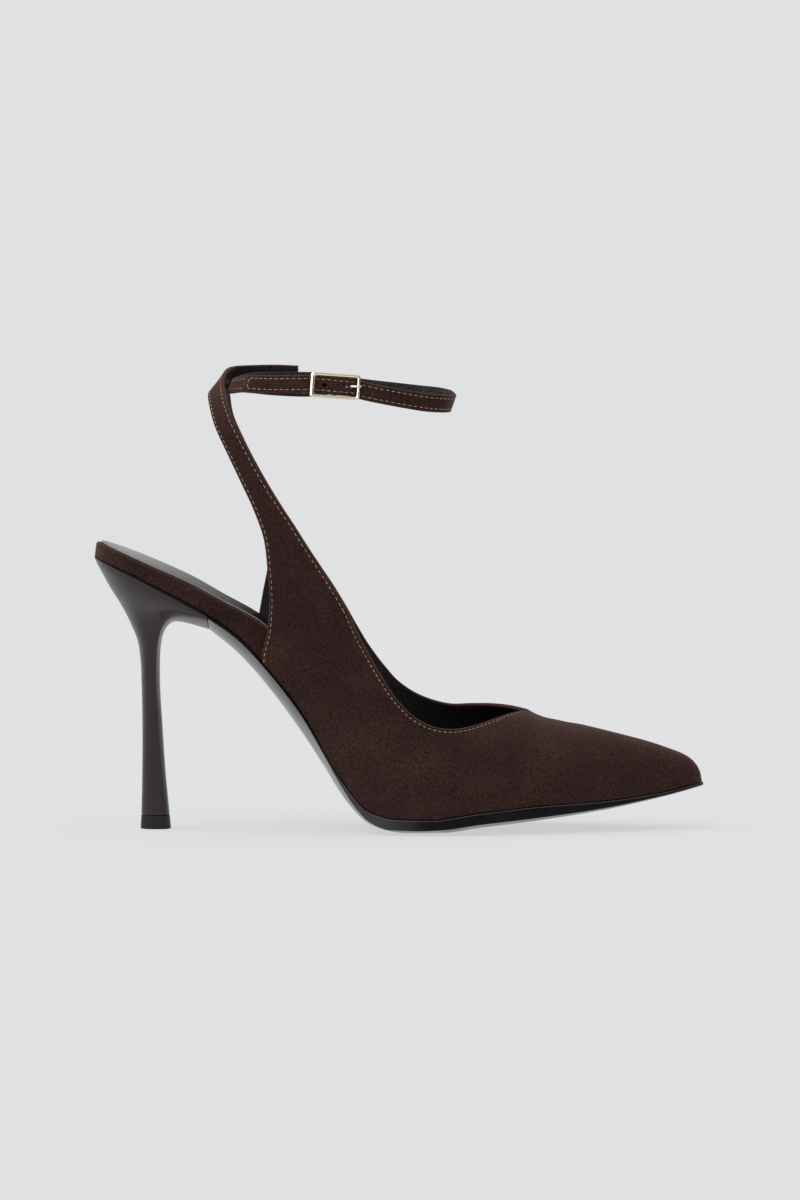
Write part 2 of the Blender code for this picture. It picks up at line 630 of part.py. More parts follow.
def heel_ring(row, front_steps=5, side_steps=11):
    """Closed section of the heel: bowed breast, two corners, rounded back."""
    corner = np.array((row.front_x - row.bow_x, row.front_z + row.bow_z))
    back = np.array((row.back_x, row.back_z))
    one_side = []
    for k in range(front_steps + 1):
        u = k / front_steps
        px, pz = row.front_x - row.bow_x * u * u, row.front_z + row.bow_z * u * u
        one_side.append((px, u * HEEL_CORNER * row.half, pz))
    flat_steps = 4
    for k in range(1, side_steps + 1):
        if k <= flat_steps:
            s = HEEL_WIDEST * k / flat_steps
            wide = HEEL_CORNER + (1 - HEEL_CORNER) * math.sin(math.pi / 2 * k / flat_steps)
        else:
            turn = math.pi / 2 * (k - flat_steps) / (side_steps - flat_steps)
            s = HEEL_WIDEST + (1 - HEEL_WIDEST) * math.sin(turn)
            wide = math.cos(turn)
        px, pz = corner + s * (back - corner)
        one_side.append((px, row.half * wide, pz))
    ring = [(px, -py, pz) for px, py, pz in one_side]
    ring += [(px, py, pz) for px, py, pz in one_side[-2:0:-1]]
    return ring


def seat_ring(front_steps=5, side_steps=11):
    """Top section of the heel, under the insole's rim."""
    front = SEAT_END_X - GAP
    one_side = []
    for k in range(front_steps + 1):
        one_side.append((front, k / front_steps * (half_width(front) + RIM_GROW)))
    for angle in np.linspace(angle_at(front), 0.0, side_steps + 1)[1:]:
        one_side.append(tuple(outline(place_at(angle), INNER, RIM_GROW)))
    shift = [centre(p[0]) for p in one_side]
    one_side[-1] = (one_side[-1][0], shift[-1])
    ring = [(p[0], min(c, 2 * c - p[1]), feather(p[0])) for p, c in zip(one_side, shift)]
    for k in range(front_steps + 1):
        ring[k] = (front, -one_side[k][1] + shift[k], feather(front))
    ring += [(p[0], p[1], feather(p[0])) for p in one_side[-2:0:-1]]
    return ring


def build_heel(per_row=2):
    """Slim heel: concave back, bowed breast and a short lip under the waist."""
    rows = flow([[row] for row in HEEL], [per_row] * (len(HEEL) - 1))[:, 0, :]
    rings = [seat_ring()] + [heel_ring(Heel(*row)) for row in rows]
    verts, faces = loft(rings)
    return new_object("heel", verts, faces, (0.06, 0.052, 0.052), 0.25)


def build_top_piece():
    """Wearing piece under the heel, flat on the floor."""
    rings = []
    for z, inward in ((TOP_PIECE_HIGH, 0.0), (TOP_PIECE_BEVEL, 0.0), (0.0, TOP_PIECE_BEVEL)):
        s = z / TOP_PIECE_HIGH
        row = Heel(*(a + (b - a) * s for a, b in zip(TOP_PIECE, HEEL[-1])))
        back, front = row.back_x + inward, row.front_x - inward
        shape = row._replace(back_x=back, front_x=front, half=row.half - inward, back_z=z, front_z=z)
        rings.append(heel_ring(shape))
    verts, faces = loft(rings)
    return new_object("top_piece", verts, faces, (0.02, 0.02, 0.021), 0.6)


def loop_point(angle, offset):
    """Point of the ankle strap's egg-shaped loop in plan, moved outward by offset."""
    def at(a):
        long, wide = math.cos(a), math.sin(a)
        blunt = LOOP_SQUARE + (LOOP_ROUND - LOOP_SQUARE) * ease(-long, -0.3, 0.3)
        wide *= math.sqrt((1.0 + blunt) / (wide * wide + blunt)) * (1.0 - LOOP_EGG * long)
        return np.array((LOOP_MID_X + LOOP_LONG * long, LOOP_DEEP * wide))
    run = at(angle + 1e-4) - at(angle - 1e-4)
    normal = np.array((run[1], -run[0])) / np.linalg.norm(run)
    return at(angle) + offset * normal


def loop_angle(x):
    """Angle of the loop at a place along the shoe, on the outer side."""
    return -math.acos((x - LOOP_MID_X) / LOOP_LONG)


def strap_path():
    """Runs of the strap from its fold to its tail: place in plan, thickness, shift in height, slope."""
    pin_angle = loop_angle(BUCKLE_X)
    pin = loop_point(pin_angle, 0.0)
    out = loop_point(pin_angle, 1.0) - pin
    back = np.array((out[1], -out[0]))
    path = []
    turn_radius = PIN_RADIUS + PIN_CLEAR + FOLD_THICK / 2
    fold = [pin + back * run - out * depth for run, depth in ((7.5, 1.75), (4.5, 1.65), (2.0, 1.3))]
    for k in range(FOLD_POINTS + 1):
        turn = math.pi * k / FOLD_POINTS - math.pi / 2
        fold.append(pin + turn_radius * (math.sin(turn) * out - math.cos(turn) * back))
    path += [Run(place, FOLD_THICK, under_shift(place[0]), FRAME_SLOPE) for place in fold]
    start, stop = loop_angle(BUCKLE_X - 2.2), loop_angle(TAIL_END_X) - 2 * math.pi
    for angle in np.linspace(start, stop, LOOP_POINTS + 1):
        past = -(angle + 2 * math.pi)
        offset = TAIL_OFFSET * ease(past, *TAIL_LIFT)
        here = loop_point(angle, 0.0)[0]
        near = abs(here - BUCKLE_X)
        thick, shift, tilt = STRAP_THICK, far_shift(here), strap_level.slope(here)
        if past > 0.0:
            shift = tail_shift(here)
        if past > 1.0:
            offset += TAIL_ARCH * (1.0 - ease(near, *TAIL_ARCH_RUN))
        elif past < -math.pi:
            first = ease(near, *FOLD_RUN)
            offset += FOLD_ARCH * (1.0 - first)
            thick = FOLD_THICK + (STRAP_THICK - FOLD_THICK) * first
            shift, tilt = under_shift(here), FRAME_SLOPE + (tilt - FRAME_SLOPE) * first
        path.append(Run(loop_point(angle, offset), thick, shift, tilt))
    return path


def strap_ring(run, along):
    """Section of the strap: upright at the sides of the ankle, leaning in front and behind."""
    x, y = run.plan
    out = np.array((-along[1], along[0], 0.0)) / np.linalg.norm(along)
    rise = np.array((-run.tilt, 0.0, 1.0)) / math.hypot(1.0, run.tilt)
    lean = FRONT_LEAN * ease(x, *FRONT_LEAN_X) - BACK_LEAN * ease(-x, *BACK_LEAN_X)
    cosine, sine = math.cos(math.radians(lean)), math.sin(math.radians(lean))
    up = (cosine * rise + sine * out) * STRAP_WIDTH / 2
    across = (cosine * out - sine * rise) * run.thick / 2
    middle = np.array((x, y, strap_level(x) + run.shift))
    return [middle - across - up, middle + across - up, middle + across + up, middle - across + up]


def build_strap():
    """Ankle strap: folded round the buckle's pin, round the ankle, through the frame to its tail."""
    path = strap_path()
    ways = np.gradient(np.array([run.plan for run in path]), axis=0)
    verts, faces = loft([strap_ring(run, along) for run, along in zip(path, ways)])
    strap = new_object("ankle_strap", verts, faces, (0.032, 0.019, 0.015), 0.95)
    frame = buckle_frame_axes()
    hole = cutter("prong_hole", frame, (HOLE_AT, HOLE_AT * PRONG_SLOPE, 2.2), (HOLE_LONG, HOLE_WIDE, 6.0))
    slot = cutter("fold_slot", frame, (-0.2, 0.0, -0.35), (SLOT_LONG, SLOT_WIDE, SLOT_LONG))
    for tool in (hole, slot):
        cut = strap.modifiers.new(tool.name, "BOOLEAN")
        cut.operation = "DIFFERENCE"
        cut.solver = "EXACT"
        cut.object = tool
    return strap


def buckle_frame_axes():
    """Pin's middle and the directions along the buckle, up and outward there."""
    angle = loop_angle(BUCKLE_X)
    plan = loop_point(angle, 0.0)
    out2 = loop_point(angle, 1.0) - plan
    origin = np.array((plan[0], plan[1], strap_level(plan[0]) + FRAME_LIFT))
    out = np.array((out2[0], out2[1], 0.0))
    along = np.array((-out2[1], out2[0], FRAME_SLOPE))
    along /= np.linalg.norm(along)
    up = np.cross(out, along)
    if up[2] < 0.0:
        up = -up
    return origin, along, up, out


def cutter(name, frame, middle, size):
    """Box that cuts the strap, kept out of renders."""
    origin, along, up, out = frame
    verts = []
    for a in (-0.5, 0.5):
        for b in (-0.5, 0.5):
            for c in (-0.5, 0.5):
                shift = (middle[0] + a * size[0], middle[1] + b * size[1], middle[2] + c * size[2])
                verts.append(origin + shift[0] * along + shift[1] * up + shift[2] * out)
    faces = [(0, 1, 3, 2), (4, 6, 7, 5), (0, 4, 5, 1), (2, 3, 7, 6), (0, 2, 6, 4), (1, 5, 7, 3)]
    obj = new_object(name, verts, faces, (0.5, 0.5, 0.5), 0.5)
    obj.hide_render = True
    obj.display_type = "WIRE"
    return obj


def tube(path, radii, sides, closed=False, ends=True):
    """Round bar along a path of places in the buckle's own directions."""
    path = np.array(path, float)
    rings = []
    count = len(path)
    for i in range(count):
        before = path[i - 1] if closed or i > 0 else path[i]
        after = path[(i + 1) % count] if closed or i < count - 1 else path[i]
        run = (after - before) / np.linalg.norm(after - before)
        first = np.array((0.0, 1.0, 0.0)) if abs(run[1]) < 0.5 else np.array((0.0, 0.0, 1.0))
        if closed:
            first = np.array((0.0, 0.0, 1.0))
        first = first - run * (first @ run)
        first /= np.linalg.norm(first)
        second = np.cross(run, first)
        ring = []
        for k in range(sides):
            turn = 2 * math.pi * (k + 0.5) / sides
            ring.append(path[i] + radii[i] * (math.cos(turn) * first + math.sin(turn) * second))
        rings.append(ring)
    if closed:
        rings.append(rings[0])
    return loft(rings, "strip" if ends else "none", "strip" if ends else "none")


def in_frame(verts, frame):
    """Places given along the strap, up and outward, in the shoe's own directions."""
    origin, along, up, out = frame
    return [origin + v[0] * along + v[1] * up + v[2] * out for v in verts]


def build_buckle_frame():
    """Rectangular frame with rounded corners, and a pin held behind it by two short posts."""
    frame = buckle_frame_axes()
    long, high, corner = FRAME_LONG / 2 - BAR_RADIUS, FRAME_HIGH / 2 - BAR_RADIUS, 1.6
    path = []
    for sx, sy, start in ((1, 1, 0), (-1, 1, 90), (-1, -1, 180), (1, -1, 270)):
        for k in range(5):
            turn = math.radians(start + 90 * k / 4)
            x = sx * (long - corner) + corner * math.cos(turn)
            path.append((x, sy * (high - corner) + corner * math.sin(turn), FRAME_OFFSET))
    verts, faces = tube(path, [BAR_RADIUS] * len(path), 8, closed=True, ends=False)
    obj = new_object("buckle_frame", in_frame(verts, frame), faces, (0.62, 0.5, 0.3), 0.25, 1.0)
    bend = 0.8
    pin = [(0.0, high, FRAME_OFFSET), (0.0, high, bend), (0.0, high - 0.25, 0.25), (0.0, high - bend, 0.0)]
    pin += [(p[0], -p[1], p[2]) for p in pin[::-1]]
    verts, faces = tube(pin, [PIN_RADIUS * 0.9] * 2 + [PIN_RADIUS] * 4 + [PIN_RADIUS * 0.9] * 2, 8)
    holder = new_object("pin_tool", in_frame(verts, frame), faces, (0.62, 0.5, 0.3), 0.25, 1.0)
    holder.hide_render = True
    holder.display_type = "WIRE"
    join = obj.modifiers.new("pin", "BOOLEAN")
    join.operation = "UNION"
    join.solver = "EXACT"
    join.object = holder
    return obj


def build_buckle_prong():
    """Prong looped round the pin, up through the strap's hole and down on the front bar."""
    frame = buckle_frame_axes()
    loop = PIN_RADIUS + 0.12 + PRONG_RADIUS
    path = []
    for k in range(10):
        turn = math.radians(60 + 300 * k / 9)
        path.append((loop * math.cos(turn), 0.0, loop * math.sin(turn)))
    rest = FRAME_OFFSET + BAR_RADIUS + PRONG_RADIUS + 0.1
    path += [(2.6, 0.0, 0.1), (3.7, 0.0, 0.35), (4.4, 0.0, 0.95), (4.9, 0.0, 1.8), (5.4, 0.0, 2.7)]
    path += [(6.1, 0.0, 3.5), (7.1, 0.0, rest - 0.05), (8.4, 0.0, rest), (9.6, 0.0, rest - 0.1)]
    path = [(along, PRONG_SLOPE * max(0.0, along - loop), out) for along, up, out in path]
    radii = [PRONG_RADIUS] * (len(path) - 1) + [PRONG_RADIUS * 0.6]
    verts, faces = tube(path, radii, 6)
    return new_object("buckle_prong", in_frame(verts, frame), faces, (0.62, 0.5, 0.3), 0.25, 1.0)


def main():
    for obj in list(bpy.data.objects):
        bpy.data.objects.remove(obj)
    build_upper()
    build_insole()
    build_sock()
    build_outsole()
    build_heel()
    build_top_piece()
    build_strap()
    build_buckle_frame()
    build_buckle_prong()


main()
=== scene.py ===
"""Looks of a slingback pump with an ankle strap: suede, lining, stitches, sole, lacquered heel and buckle.

Sizes are millimetres in the shoe's own frame, with +X to the toe, -Y to the outer side and +Z up.
They become metres where a mesh is made. Each piece keeps the form of the solid that it stands for.
"""
import logging
import math
from dataclasses import dataclass, field
from enum import Enum, IntEnum
from typing import Any, NamedTuple, Sequence

import bmesh
import bpy
import numpy as np
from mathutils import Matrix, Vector

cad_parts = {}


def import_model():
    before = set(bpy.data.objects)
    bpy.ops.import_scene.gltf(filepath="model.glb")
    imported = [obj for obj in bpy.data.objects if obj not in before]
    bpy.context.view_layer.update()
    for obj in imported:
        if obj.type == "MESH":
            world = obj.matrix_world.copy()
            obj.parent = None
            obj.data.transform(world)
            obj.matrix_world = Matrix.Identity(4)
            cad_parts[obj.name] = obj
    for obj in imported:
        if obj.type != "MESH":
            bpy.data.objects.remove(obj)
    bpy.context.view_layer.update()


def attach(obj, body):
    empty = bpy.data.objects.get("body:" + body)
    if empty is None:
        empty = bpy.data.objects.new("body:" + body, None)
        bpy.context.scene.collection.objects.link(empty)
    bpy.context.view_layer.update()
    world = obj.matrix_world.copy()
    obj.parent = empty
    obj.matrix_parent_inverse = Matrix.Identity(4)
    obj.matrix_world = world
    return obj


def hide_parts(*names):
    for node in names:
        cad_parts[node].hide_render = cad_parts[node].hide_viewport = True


log = logging.getLogger("pump")

MM = 0.001
SAME = 1e-7  # metres within which two vertices are one
FAR = 99.0  # a distance past every seam
WEAR_AND_HIGHLIGHT = "wear"  # vertex attribute: 1 at worn and cut edges, and where an edge gets a painted highlight
BODY = "root"
Colour = tuple[float, float, float]
Point = tuple[float, float, float]
Span = tuple[float, float]
Seam = tuple[np.ndarray, np.ndarray]  # places, and directions out of the leather


class Side(IntEnum):
    """Sign of Y on the two sides of a right shoe."""

    OUTER = -1
    INNER = 1


class Slot(Enum):
    """Material slots of the record."""

    SUEDE = "suede"
    RIM = "rim_suede"
    SOCK = "sock_leather"
    SOLE = "sole"
    HEEL = "heel_lacquer"
    TOP_PIECE = "top_piece_rubber"
    STRAP = "strap_suede"
    BUCKLE = "buckle_metal"
    PRONG = "prong_metal"


class BottomRow(NamedTuple):
    """Station of the last's bottom: feather line, insole's top, middle line and half width."""

    x: float
    feather: float
    bed: float
    centre: float
    half: float


class TreadRow(NamedTuple):
    """Station of the sole's underside: its lower edge and its middle."""

    x: float
    edge: float
    tread: float


class RidgeRow(NamedTuple):
    """Height of the vamp's ridge over the sole."""

    x: float
    height: float


class WallRow(NamedTuple):
    """Section of a quarter: its foot's station, its point on the topline and its two bends."""

    low_x: float
    top_x: float
    top_y: float
    top_z: float
    foot_turn: float
    top_turn: float


class SlingRow(NamedTuple):
    """Section of a sling: a point of its back edge and a point of its front edge."""

    low_x: float
    low_y: float
    low_z: float
    top_x: float
    top_y: float
    top_z: float


class HeelRow(NamedTuple):
    """Section of the heel: back and front in the side view, half width, and the breast's bow."""

    back_x: float
    back_z: float
    front_x: float
    front_z: float
    half: float
    bow_x: float
    bow_z: float


class LevelRow(NamedTuple):
    """Height of the ankle strap's middle, or how far a run of it lies above that."""

    x: float
    z: float


class Crease(NamedTuple):
    """Soft trough in the suede: its middle, its direction, its reach along and across, its depth."""

    middle: Point
    along: Point
    reach: float
    width: float
    depth: float


def table(kind: Any, *rows: tuple[float, ...]) -> tuple[Any, ...]:
    """Table whose rows are named tuples of one kind."""
    return tuple(kind(*row) for row in rows)


BOTTOM = table(
    BottomRow,
    (-112.0, 100.8, 107.1, 0.0, 24.2),
    (-100.0, 96.0, 102.2, 0.0, 24.6),
    (-88.0, 90.4, 97.0, -0.2, 24.8),
    (-76.0, 84.0, 91.6, -0.5, 24.0),
    (-64.0, 76.6, 85.0, -0.8, 22.2),
    (-56.0, 70.0, 80.8, -1.0, 20.9),
    (-50.0, 62.9, 77.0, -1.1, 19.9),
    (-36.0, 45.1, 60.0, -1.6, 17.9),
    (-21.0, 20.1, 30.5, -2.0, 21.8),
    (-10.0, 8.2, 14.6, -1.6, 27.4),
    (0.0, 5.8, 10.2, -1.0, 32.0),
    (12.0, 5.7, 9.3, -0.3, 34.6),
    (30.0, 8.1, 11.4, 0.3, 33.6),
    (52.0, 10.2, 13.4, 1.0, 27.2),
    (75.0, 11.3, 14.4, 1.5, 18.2),
    (97.0, 13.8, 16.8, 1.8, 9.2),
    (111.1, 16.7, 19.2, 2.0, 4.6),
)
TREAD = table(
    TreadRow,
    (-69.6, 79.2, 74.0),
    (-60.0, 72.4, 66.2),
    (-50.0, 62.2, 55.4),
    (-36.0, 44.2, 36.8),
    (-28.0, 30.6, 24.6),
    (-21.0, 18.2, 13.6),
    (-15.0, 9.3, 6.6),
    (-10.0, 4.6, 2.9),
    (-3.0, 2.1, 0.7),
    (2.0, 2.0, 0.0),
    (7.0, 1.9, 0.0),
    (17.0, 2.3, 0.0),
    (30.0, 4.1, 1.7),
    (52.0, 6.2, 4.2),
    (75.0, 8.8, 7.4),
    (97.0, 12.6, 11.8),
    (113.3, 16.4, 16.0),
)
RIDGE = table(
    RidgeRow,
    (47.4, 33.6),
    (50.5, 31.6),
    (54.2, 29.9),
    (60.0, 28.4),
    (67.5, 26.7),
    (76.4, 24.1),
    (85.3, 21.0),
    (94.2, 17.4),
    (103.0, 12.9),
    (112.3, 7.7),
)
OUTER_WALL = table(
    WallRow,
    (41.0, 41.5, -9.0, 43.0, 48, 40),
    (34.0, 34.5, -17.0, 41.3, 40, 33),
    (26.0, 27.0, -24.2, 39.5, 31, 26),
    (17.0, 20.0, -28.6, 38.8, 24, 18),
    (8.0, 13.0, -30.8, 40.0, 17, 12),
    (0.0, 6.5, -31.8, 43.4, 12, 9),
    (-8.0, 0.3, -32.2, 49.5, 9, 8),
    (-16.0, -5.0, -32.2, 57.3, 7, 7),
    (-25.0, -10.0, -32.0, 66.0, 6, 6),
    (-37.0, -14.5, -31.6, 74.3, 5, 5),
    (-50.0, -18.3, -31.2, 82.8, 4, 4),
)
INNER_WALL = table(
    WallRow,
    (41.0, 41.5, 10.5, 44.6, 48, 40),
    (34.0, 34.5, 18.5, 44.9, 42, 34),
    (26.0, 27.0, 25.0, 44.6, 34, 27),
    (17.0, 20.0, 28.3, 44.3, 26, 20),
    (8.0, 13.0, 29.8, 45.8, 18, 13),
    (0.0, 6.5, 30.4, 48.5, 13, 10),
    (-8.0, 0.3, 30.6, 52.8, 10, 8),
    (-16.0, -5.0, 30.6, 58.7, 8, 7),
    (-25.0, -10.2, 30.6, 65.6, 7, 6),
    (-38.0, -15.3, 30.6, 73.9, 6, 5),
    (-54.0, -20.2, 30.6, 82.6, 5, 4),
)
OUTER_SLING = table(
    SlingRow,
    (-47.8, -24.6, 74.5, -21.8, -30.8, 89.0),
    (-47.1, -26.2, 85.0, -26.2, -30.3, 96.0),
    (-47.8, -27.4, 97.5, -32.8, -29.6, 106.0),
    (-49.1, -27.8, 108.5, -38.4, -29.0, 114.8),
    (-52.7, -27.6, 119.0, -44.4, -28.4, 123.8),
    (-57.8, -26.6, 130.0, -50.6, -27.6, 134.0),
    (-62.8, -23.6, 140.5, -56.0, -26.0, 144.3),
    (-66.8, -18.0, 149.0, -60.6, -22.6, 153.4),
    (-69.0, -10.0, 156.2, -63.2, -14.4, 161.0),
    (-69.4, 0.0, 161.2, -63.9, -0.5, 167.6),
    (-66.6, 8.5, 162.3, -62.6, 8.0, 170.0),
    (-61.5, 16.0, 163.0, -60.0, 15.8, 170.8),
    (-53.5, 21.5, 163.2, -53.0, 21.4, 171.0),
    (-45.5, 25.0, 163.2, -45.2, 24.9, 171.0),
    (-37.2, 27.2, 162.8, -37.0, 27.1, 170.6),
)
INNER_SLING = table(
    SlingRow,
    (-52.1, 23.2, 76.0, -24.1, 30.4, 89.0),
    (-50.3, 25.6, 86.0, -28.8, 30.0, 96.0),
    (-48.4, 27.0, 97.5, -35.4, 29.4, 106.0),
    (-49.5, 27.6, 108.5, -41.0, 29.0, 114.8),
    (-53.2, 27.6, 119.0, -46.6, 28.4, 123.8),
    (-58.8, 26.4, 129.8, -52.3, 27.4, 133.8),
    (-63.2, 23.2, 140.0, -57.4, 25.6, 143.8),
    (-66.2, 17.4, 148.2, -61.2, 21.6, 152.6),
    (-67.4, 9.4, 154.6, -62.3, 13.2, 159.8),
    (-67.9, 0.0, 158.8, -62.65, 0.5, 165.9),
    (-68.05, -2.5, 157.9, -62.7, -3.0, 164.6),
)
HEEL = table(
    HeelRow,
    (-111.4, 98.8, -69.9, 74.0, 24.7, 0.0, 4.6),
    (-108.6, 93.6, -74.5, 75.4, 22.4, 0.8, 3.9),
    (-105.8, 88.6, -79.4, 76.6, 19.0, 1.2, 2.8),
    (-103.0, 84.2, -82.6, 76.8, 15.8, 1.3, 1.8),
    (-100.3, 79.4, -85.0, 75.2, 12.8, 1.2, 1.2),
    (-98.2, 74.8, -86.6, 72.4, 10.6, 1.1, 0.6),
    (-96.3, 70.0, -87.5, 68.4, 8.9, 1.1, 0.2),
    (-95.2, 63.0, -87.9, 62.2, 7.5, 1.2, 0.0),
    (-94.8, 54.0, -87.9, 54.0, 6.5, 1.3, 0.0),
    (-94.5, 38.0, -87.0, 38.0, 5.7, 1.4, 0.0),
    (-94.6, 20.0, -85.8, 20.0, 5.3, 1.5, 0.0),
    (-94.9, 5.3, -84.4, 5.3, 5.2, 1.7, 0.0),
)
TOP_PIECE = HeelRow(-95.2, 0.0, -83.9, 0.0, 5.3, 1.7, 0.0)
STRAP_LEVEL = table(
    LevelRow,
    (-62.0, 163.8),
    (-55.0, 165.1),
    (-33.0, 164.9),
    (-13.0, 162.7),
    (3.0, 159.9),
    (11.0, 158.6),
    (21.0, 157.8),
)
UNDER_SHIFT = table(
    LevelRow,
    (-60.0, 0.0),
    (-54.0, 0.0),
    (-45.0, -0.5),
    (-35.0, -0.75),
    (-29.0, -0.4),
    (-24.5, 0.75),
    (-20.0, 0.75),
)
FAR_SHIFT = table(
    LevelRow,
    (-60.0, 0.0),
    (-30.0, 0.0),
    (-13.0, -0.3),
    (1.0, 0.6),
    (13.0, 1.3),
    (18.5, 0.9),
    (20.1, 0.0),
)
TAIL_SHIFT = table(
    LevelRow,
    (-60.0, 0.3),
    (-52.0, 0.3),
    (-36.0, 0.6),
    (-28.0, 0.8),
    (-23.0, 0.85),
    (-17.0, 1.1),
    (-13.1, 0.45),
    (-8.0, 0.1),
    (0.0, 0.0),
)


def between(a: Any, b: Any, ta: Any, tb: Any, s: Any) -> Any:
    """Cubic from a to b with the tangents ta and tb, at the share s of the way."""
    return a + s * (ta + s * (3 * (b - a) - 2 * ta - tb + s * (2 * (a - b) + ta + tb)))


def run_along(points: np.ndarray) -> np.ndarray:
    """Length of a line from its first point to each of its points."""
    return np.concatenate(([0.0], np.cumsum(np.linalg.norm(np.diff(points, axis=0), axis=1))))


def bell(x: Any, width: float) -> Any:
    """1 at 0, falling smoothly on both sides; x is a number or an array."""
    return np.exp(-((x / width) ** 2))


class Curve:
    """Smooth curve through one column of a table, which doesn't overshoot its rows."""

    NEAR = 0.05  # half of the length over which a slope is taken

    def __init__(self, rows: Sequence[Any], column: str) -> None:
        """Reads the column.

        Args:
            rows: table whose rows have an x.
            column: name of the column that the curve follows.
        """
        self.x = np.array([row.x for row in rows], float)
        self.y = np.array([getattr(row, column) for row in rows], float)
        rise = np.diff(self.y) / np.diff(self.x)
        before, after = rise[:-1], rise[1:]
        bend = np.where(before * after > 0.0, before * after, 0.0)
        total = np.where(bend > 0.0, before + after, 1.0)
        self.tangent = np.concatenate(([rise[0]], 2.0 * bend / total, [rise[-1]]))

    def __call__(self, x: Any) -> Any:
        """Value at x, a number or an array of numbers.

        Args:
            x: places along the shoe.

        Returns:
            The values there.
        """
        x = np.asarray(x, float)
        i = np.clip(np.searchsorted(self.x, x) - 1, 0, len(self.x) - 2)
        span = self.x[i + 1] - self.x[i]
        s = (x - self.x[i]) / span
        a, b = self.y[i], self.y[i + 1]
        ta, tb = self.tangent[i] * span, self.tangent[i + 1] * span
        value = between(a, b, ta, tb, s)
        value = np.where(x < self.x[0], self.y[0] + (x - self.x[0]) * self.tangent[0], value)
        return np.where(x > self.x[-1], self.y[-1] + (x - self.x[-1]) * self.tangent[-1], value)

    def slope(self, x: Any) -> Any:
        """Rise per millimetre at x."""
        return (self(x + self.NEAR) - self(x - self.NEAR)) / (2 * self.NEAR)


def ease(x: Any, start: float, end: float) -> Any:
    """0 before start, 1 after end, smooth between; x is a number or an array."""
    s = np.clip((np.asarray(x, float) - start) / (end - start), 0.0, 1.0)
    return s * s * (3.0 - 2.0 * s)


def flow(rows: Sequence[Any], steps: Sequence[int]) -> np.ndarray:
    """Rows of control points carried smoothly along.

    Args:
        rows: arrays of the same shape.
        steps: how many steps there are between each row and the next.

    Returns:
        The rows with those between them.
    """
    table = np.array(rows, float)
    middles = table.reshape(len(table), -1, table.shape[-1]).mean(axis=1)
    knots = run_along(middles)
    tangents = np.gradient(table, knots, axis=0)
    result = []
    for i, count in enumerate(steps):
        span = knots[i + 1] - knots[i]
        a, b, ta, tb = table[i], table[i + 1], tangents[i] * span, tangents[i + 1] * span
        for k in range(count):
            result.append(between(a, b, ta, tb, k / count))
    result.append(table[-1])
    return np.array(result)


def loft(rings: Sequence[Sequence[Any]], capped: bool = True) -> tuple[np.ndarray, list[tuple[int, ...]]]:
    """Skin over closed rings.

    Args:
        rings: rings with the same number of points.
        capped: whether both ends are closed across the ring in strips.

    Returns:
        Vertices and faces; the side faces come first, ring by ring.
    """
    size = len(rings[0])
    verts = np.array(rings, float).reshape(-1, 3)
    faces: list[tuple[int, ...]] = []
    for r in range(len(rings) - 1):
        for i in range(size):
            j = (i + 1) % size
            faces.append((r * size + i, r * size + j, (r + 1) * size + j, (r + 1) * size + i))
    if capped:
        for base in (0, (len(rings) - 1) * size):
            for i in range(size // 2):
                loop = (i, i + 1, (size - i - 1) % size, (size - i) % size)
                faces.append(tuple(dict.fromkeys(base + k for k in loop)))
    return verts, faces


def placed(name: str, data: Any) -> bpy.types.Object:
    """Object with some data, linked to the scene.

    Args:
        name: its name.
        data: a mesh, a light or a camera.

    Returns:
        The object.
    """
    obj = bpy.data.objects.new(name, data)
    bpy.context.scene.collection.objects.link(obj)
    return obj


def mesh_object(
    name: str,
    verts: Any,
    faces: list[tuple[int, ...]],
    materials: Sequence[bpy.types.Material],
    slots: Sequence[int] | None = None,
    sharp: float | None = None,
    wear: Any = None,
) -> bpy.types.Object:
    """Closed, smooth-shaded mesh object at the origin.

    Args:
        name: object's name.
        verts: places in millimetres.
        faces: vertex indices of each face.
        materials: materials in slot order.
        slots: material index of each face, or None for the first.
        sharp: angle in degrees past which edges stay sharp, or None for none.
        wear: how much each vertex is worn or polished, and how strong its painted edge highlight is, from 0
            to 1, or None.

    Returns:
        The object, linked to the scene.
    """
    mesh = bpy.data.meshes.new(name)
    mesh.from_pydata((np.asarray(verts, float) * MM).tolist(), [], faces)
    for material in materials:
        mesh.materials.append(material)
    if slots is not None:
        mesh.polygons.foreach_set("material_index", list(slots))
    if wear is not None:
        layer = mesh.attributes.new(WEAR_AND_HIGHLIGHT, "FLOAT", "POINT")
        layer.data.foreach_set("value", np.asarray(wear, np.float32))
    work = bmesh.new()
    work.from_mesh(mesh)
    bmesh.ops.remove_doubles(work, verts=work.verts, dist=SAME)
    bmesh.ops.dissolve_degenerate(work, edges=work.edges, dist=SAME)
    bmesh.ops.recalc_face_normals(work, faces=work.faces)
    work.to_mesh(mesh)
    work.free()
    mesh.shade_smooth()
    if sharp is not None:
        mesh.set_sharp_from_angle(angle=math.radians(sharp))
    return placed(name, mesh)


def baked(obj: bpy.types.Object) -> bpy.types.Object:
    """Turns an object with modifiers into a plain mesh of the same name and removes the original.

    Args:
        obj: the object.

    Returns:
        The plain object.
    """
    bpy.context.view_layer.update()
    graph = bpy.context.evaluated_depsgraph_get()
    mesh = bpy.data.meshes.new_from_object(obj.evaluated_get(graph))
    name = obj.name
    bpy.data.objects.remove(obj)
    mesh.name = name
    return placed(name, mesh)


def hand_over(obj: bpy.types.Object, slot: Slot, *nodes: str) -> None:
    """Gives a finished piece to the frame.

    Args:
        obj: the piece.
        slot: material slot of the record; not used.
        nodes: solids that the piece stands for.
    """
    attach(obj, BODY)
    if nodes:
        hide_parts(*nodes)
    triangles = sum(len(p.vertices) - 2 for p in obj.data.polygons)
    log.info("%s: %d triangles, stands for %s", obj.name, triangles, ", ".join(nodes) or "nothing")


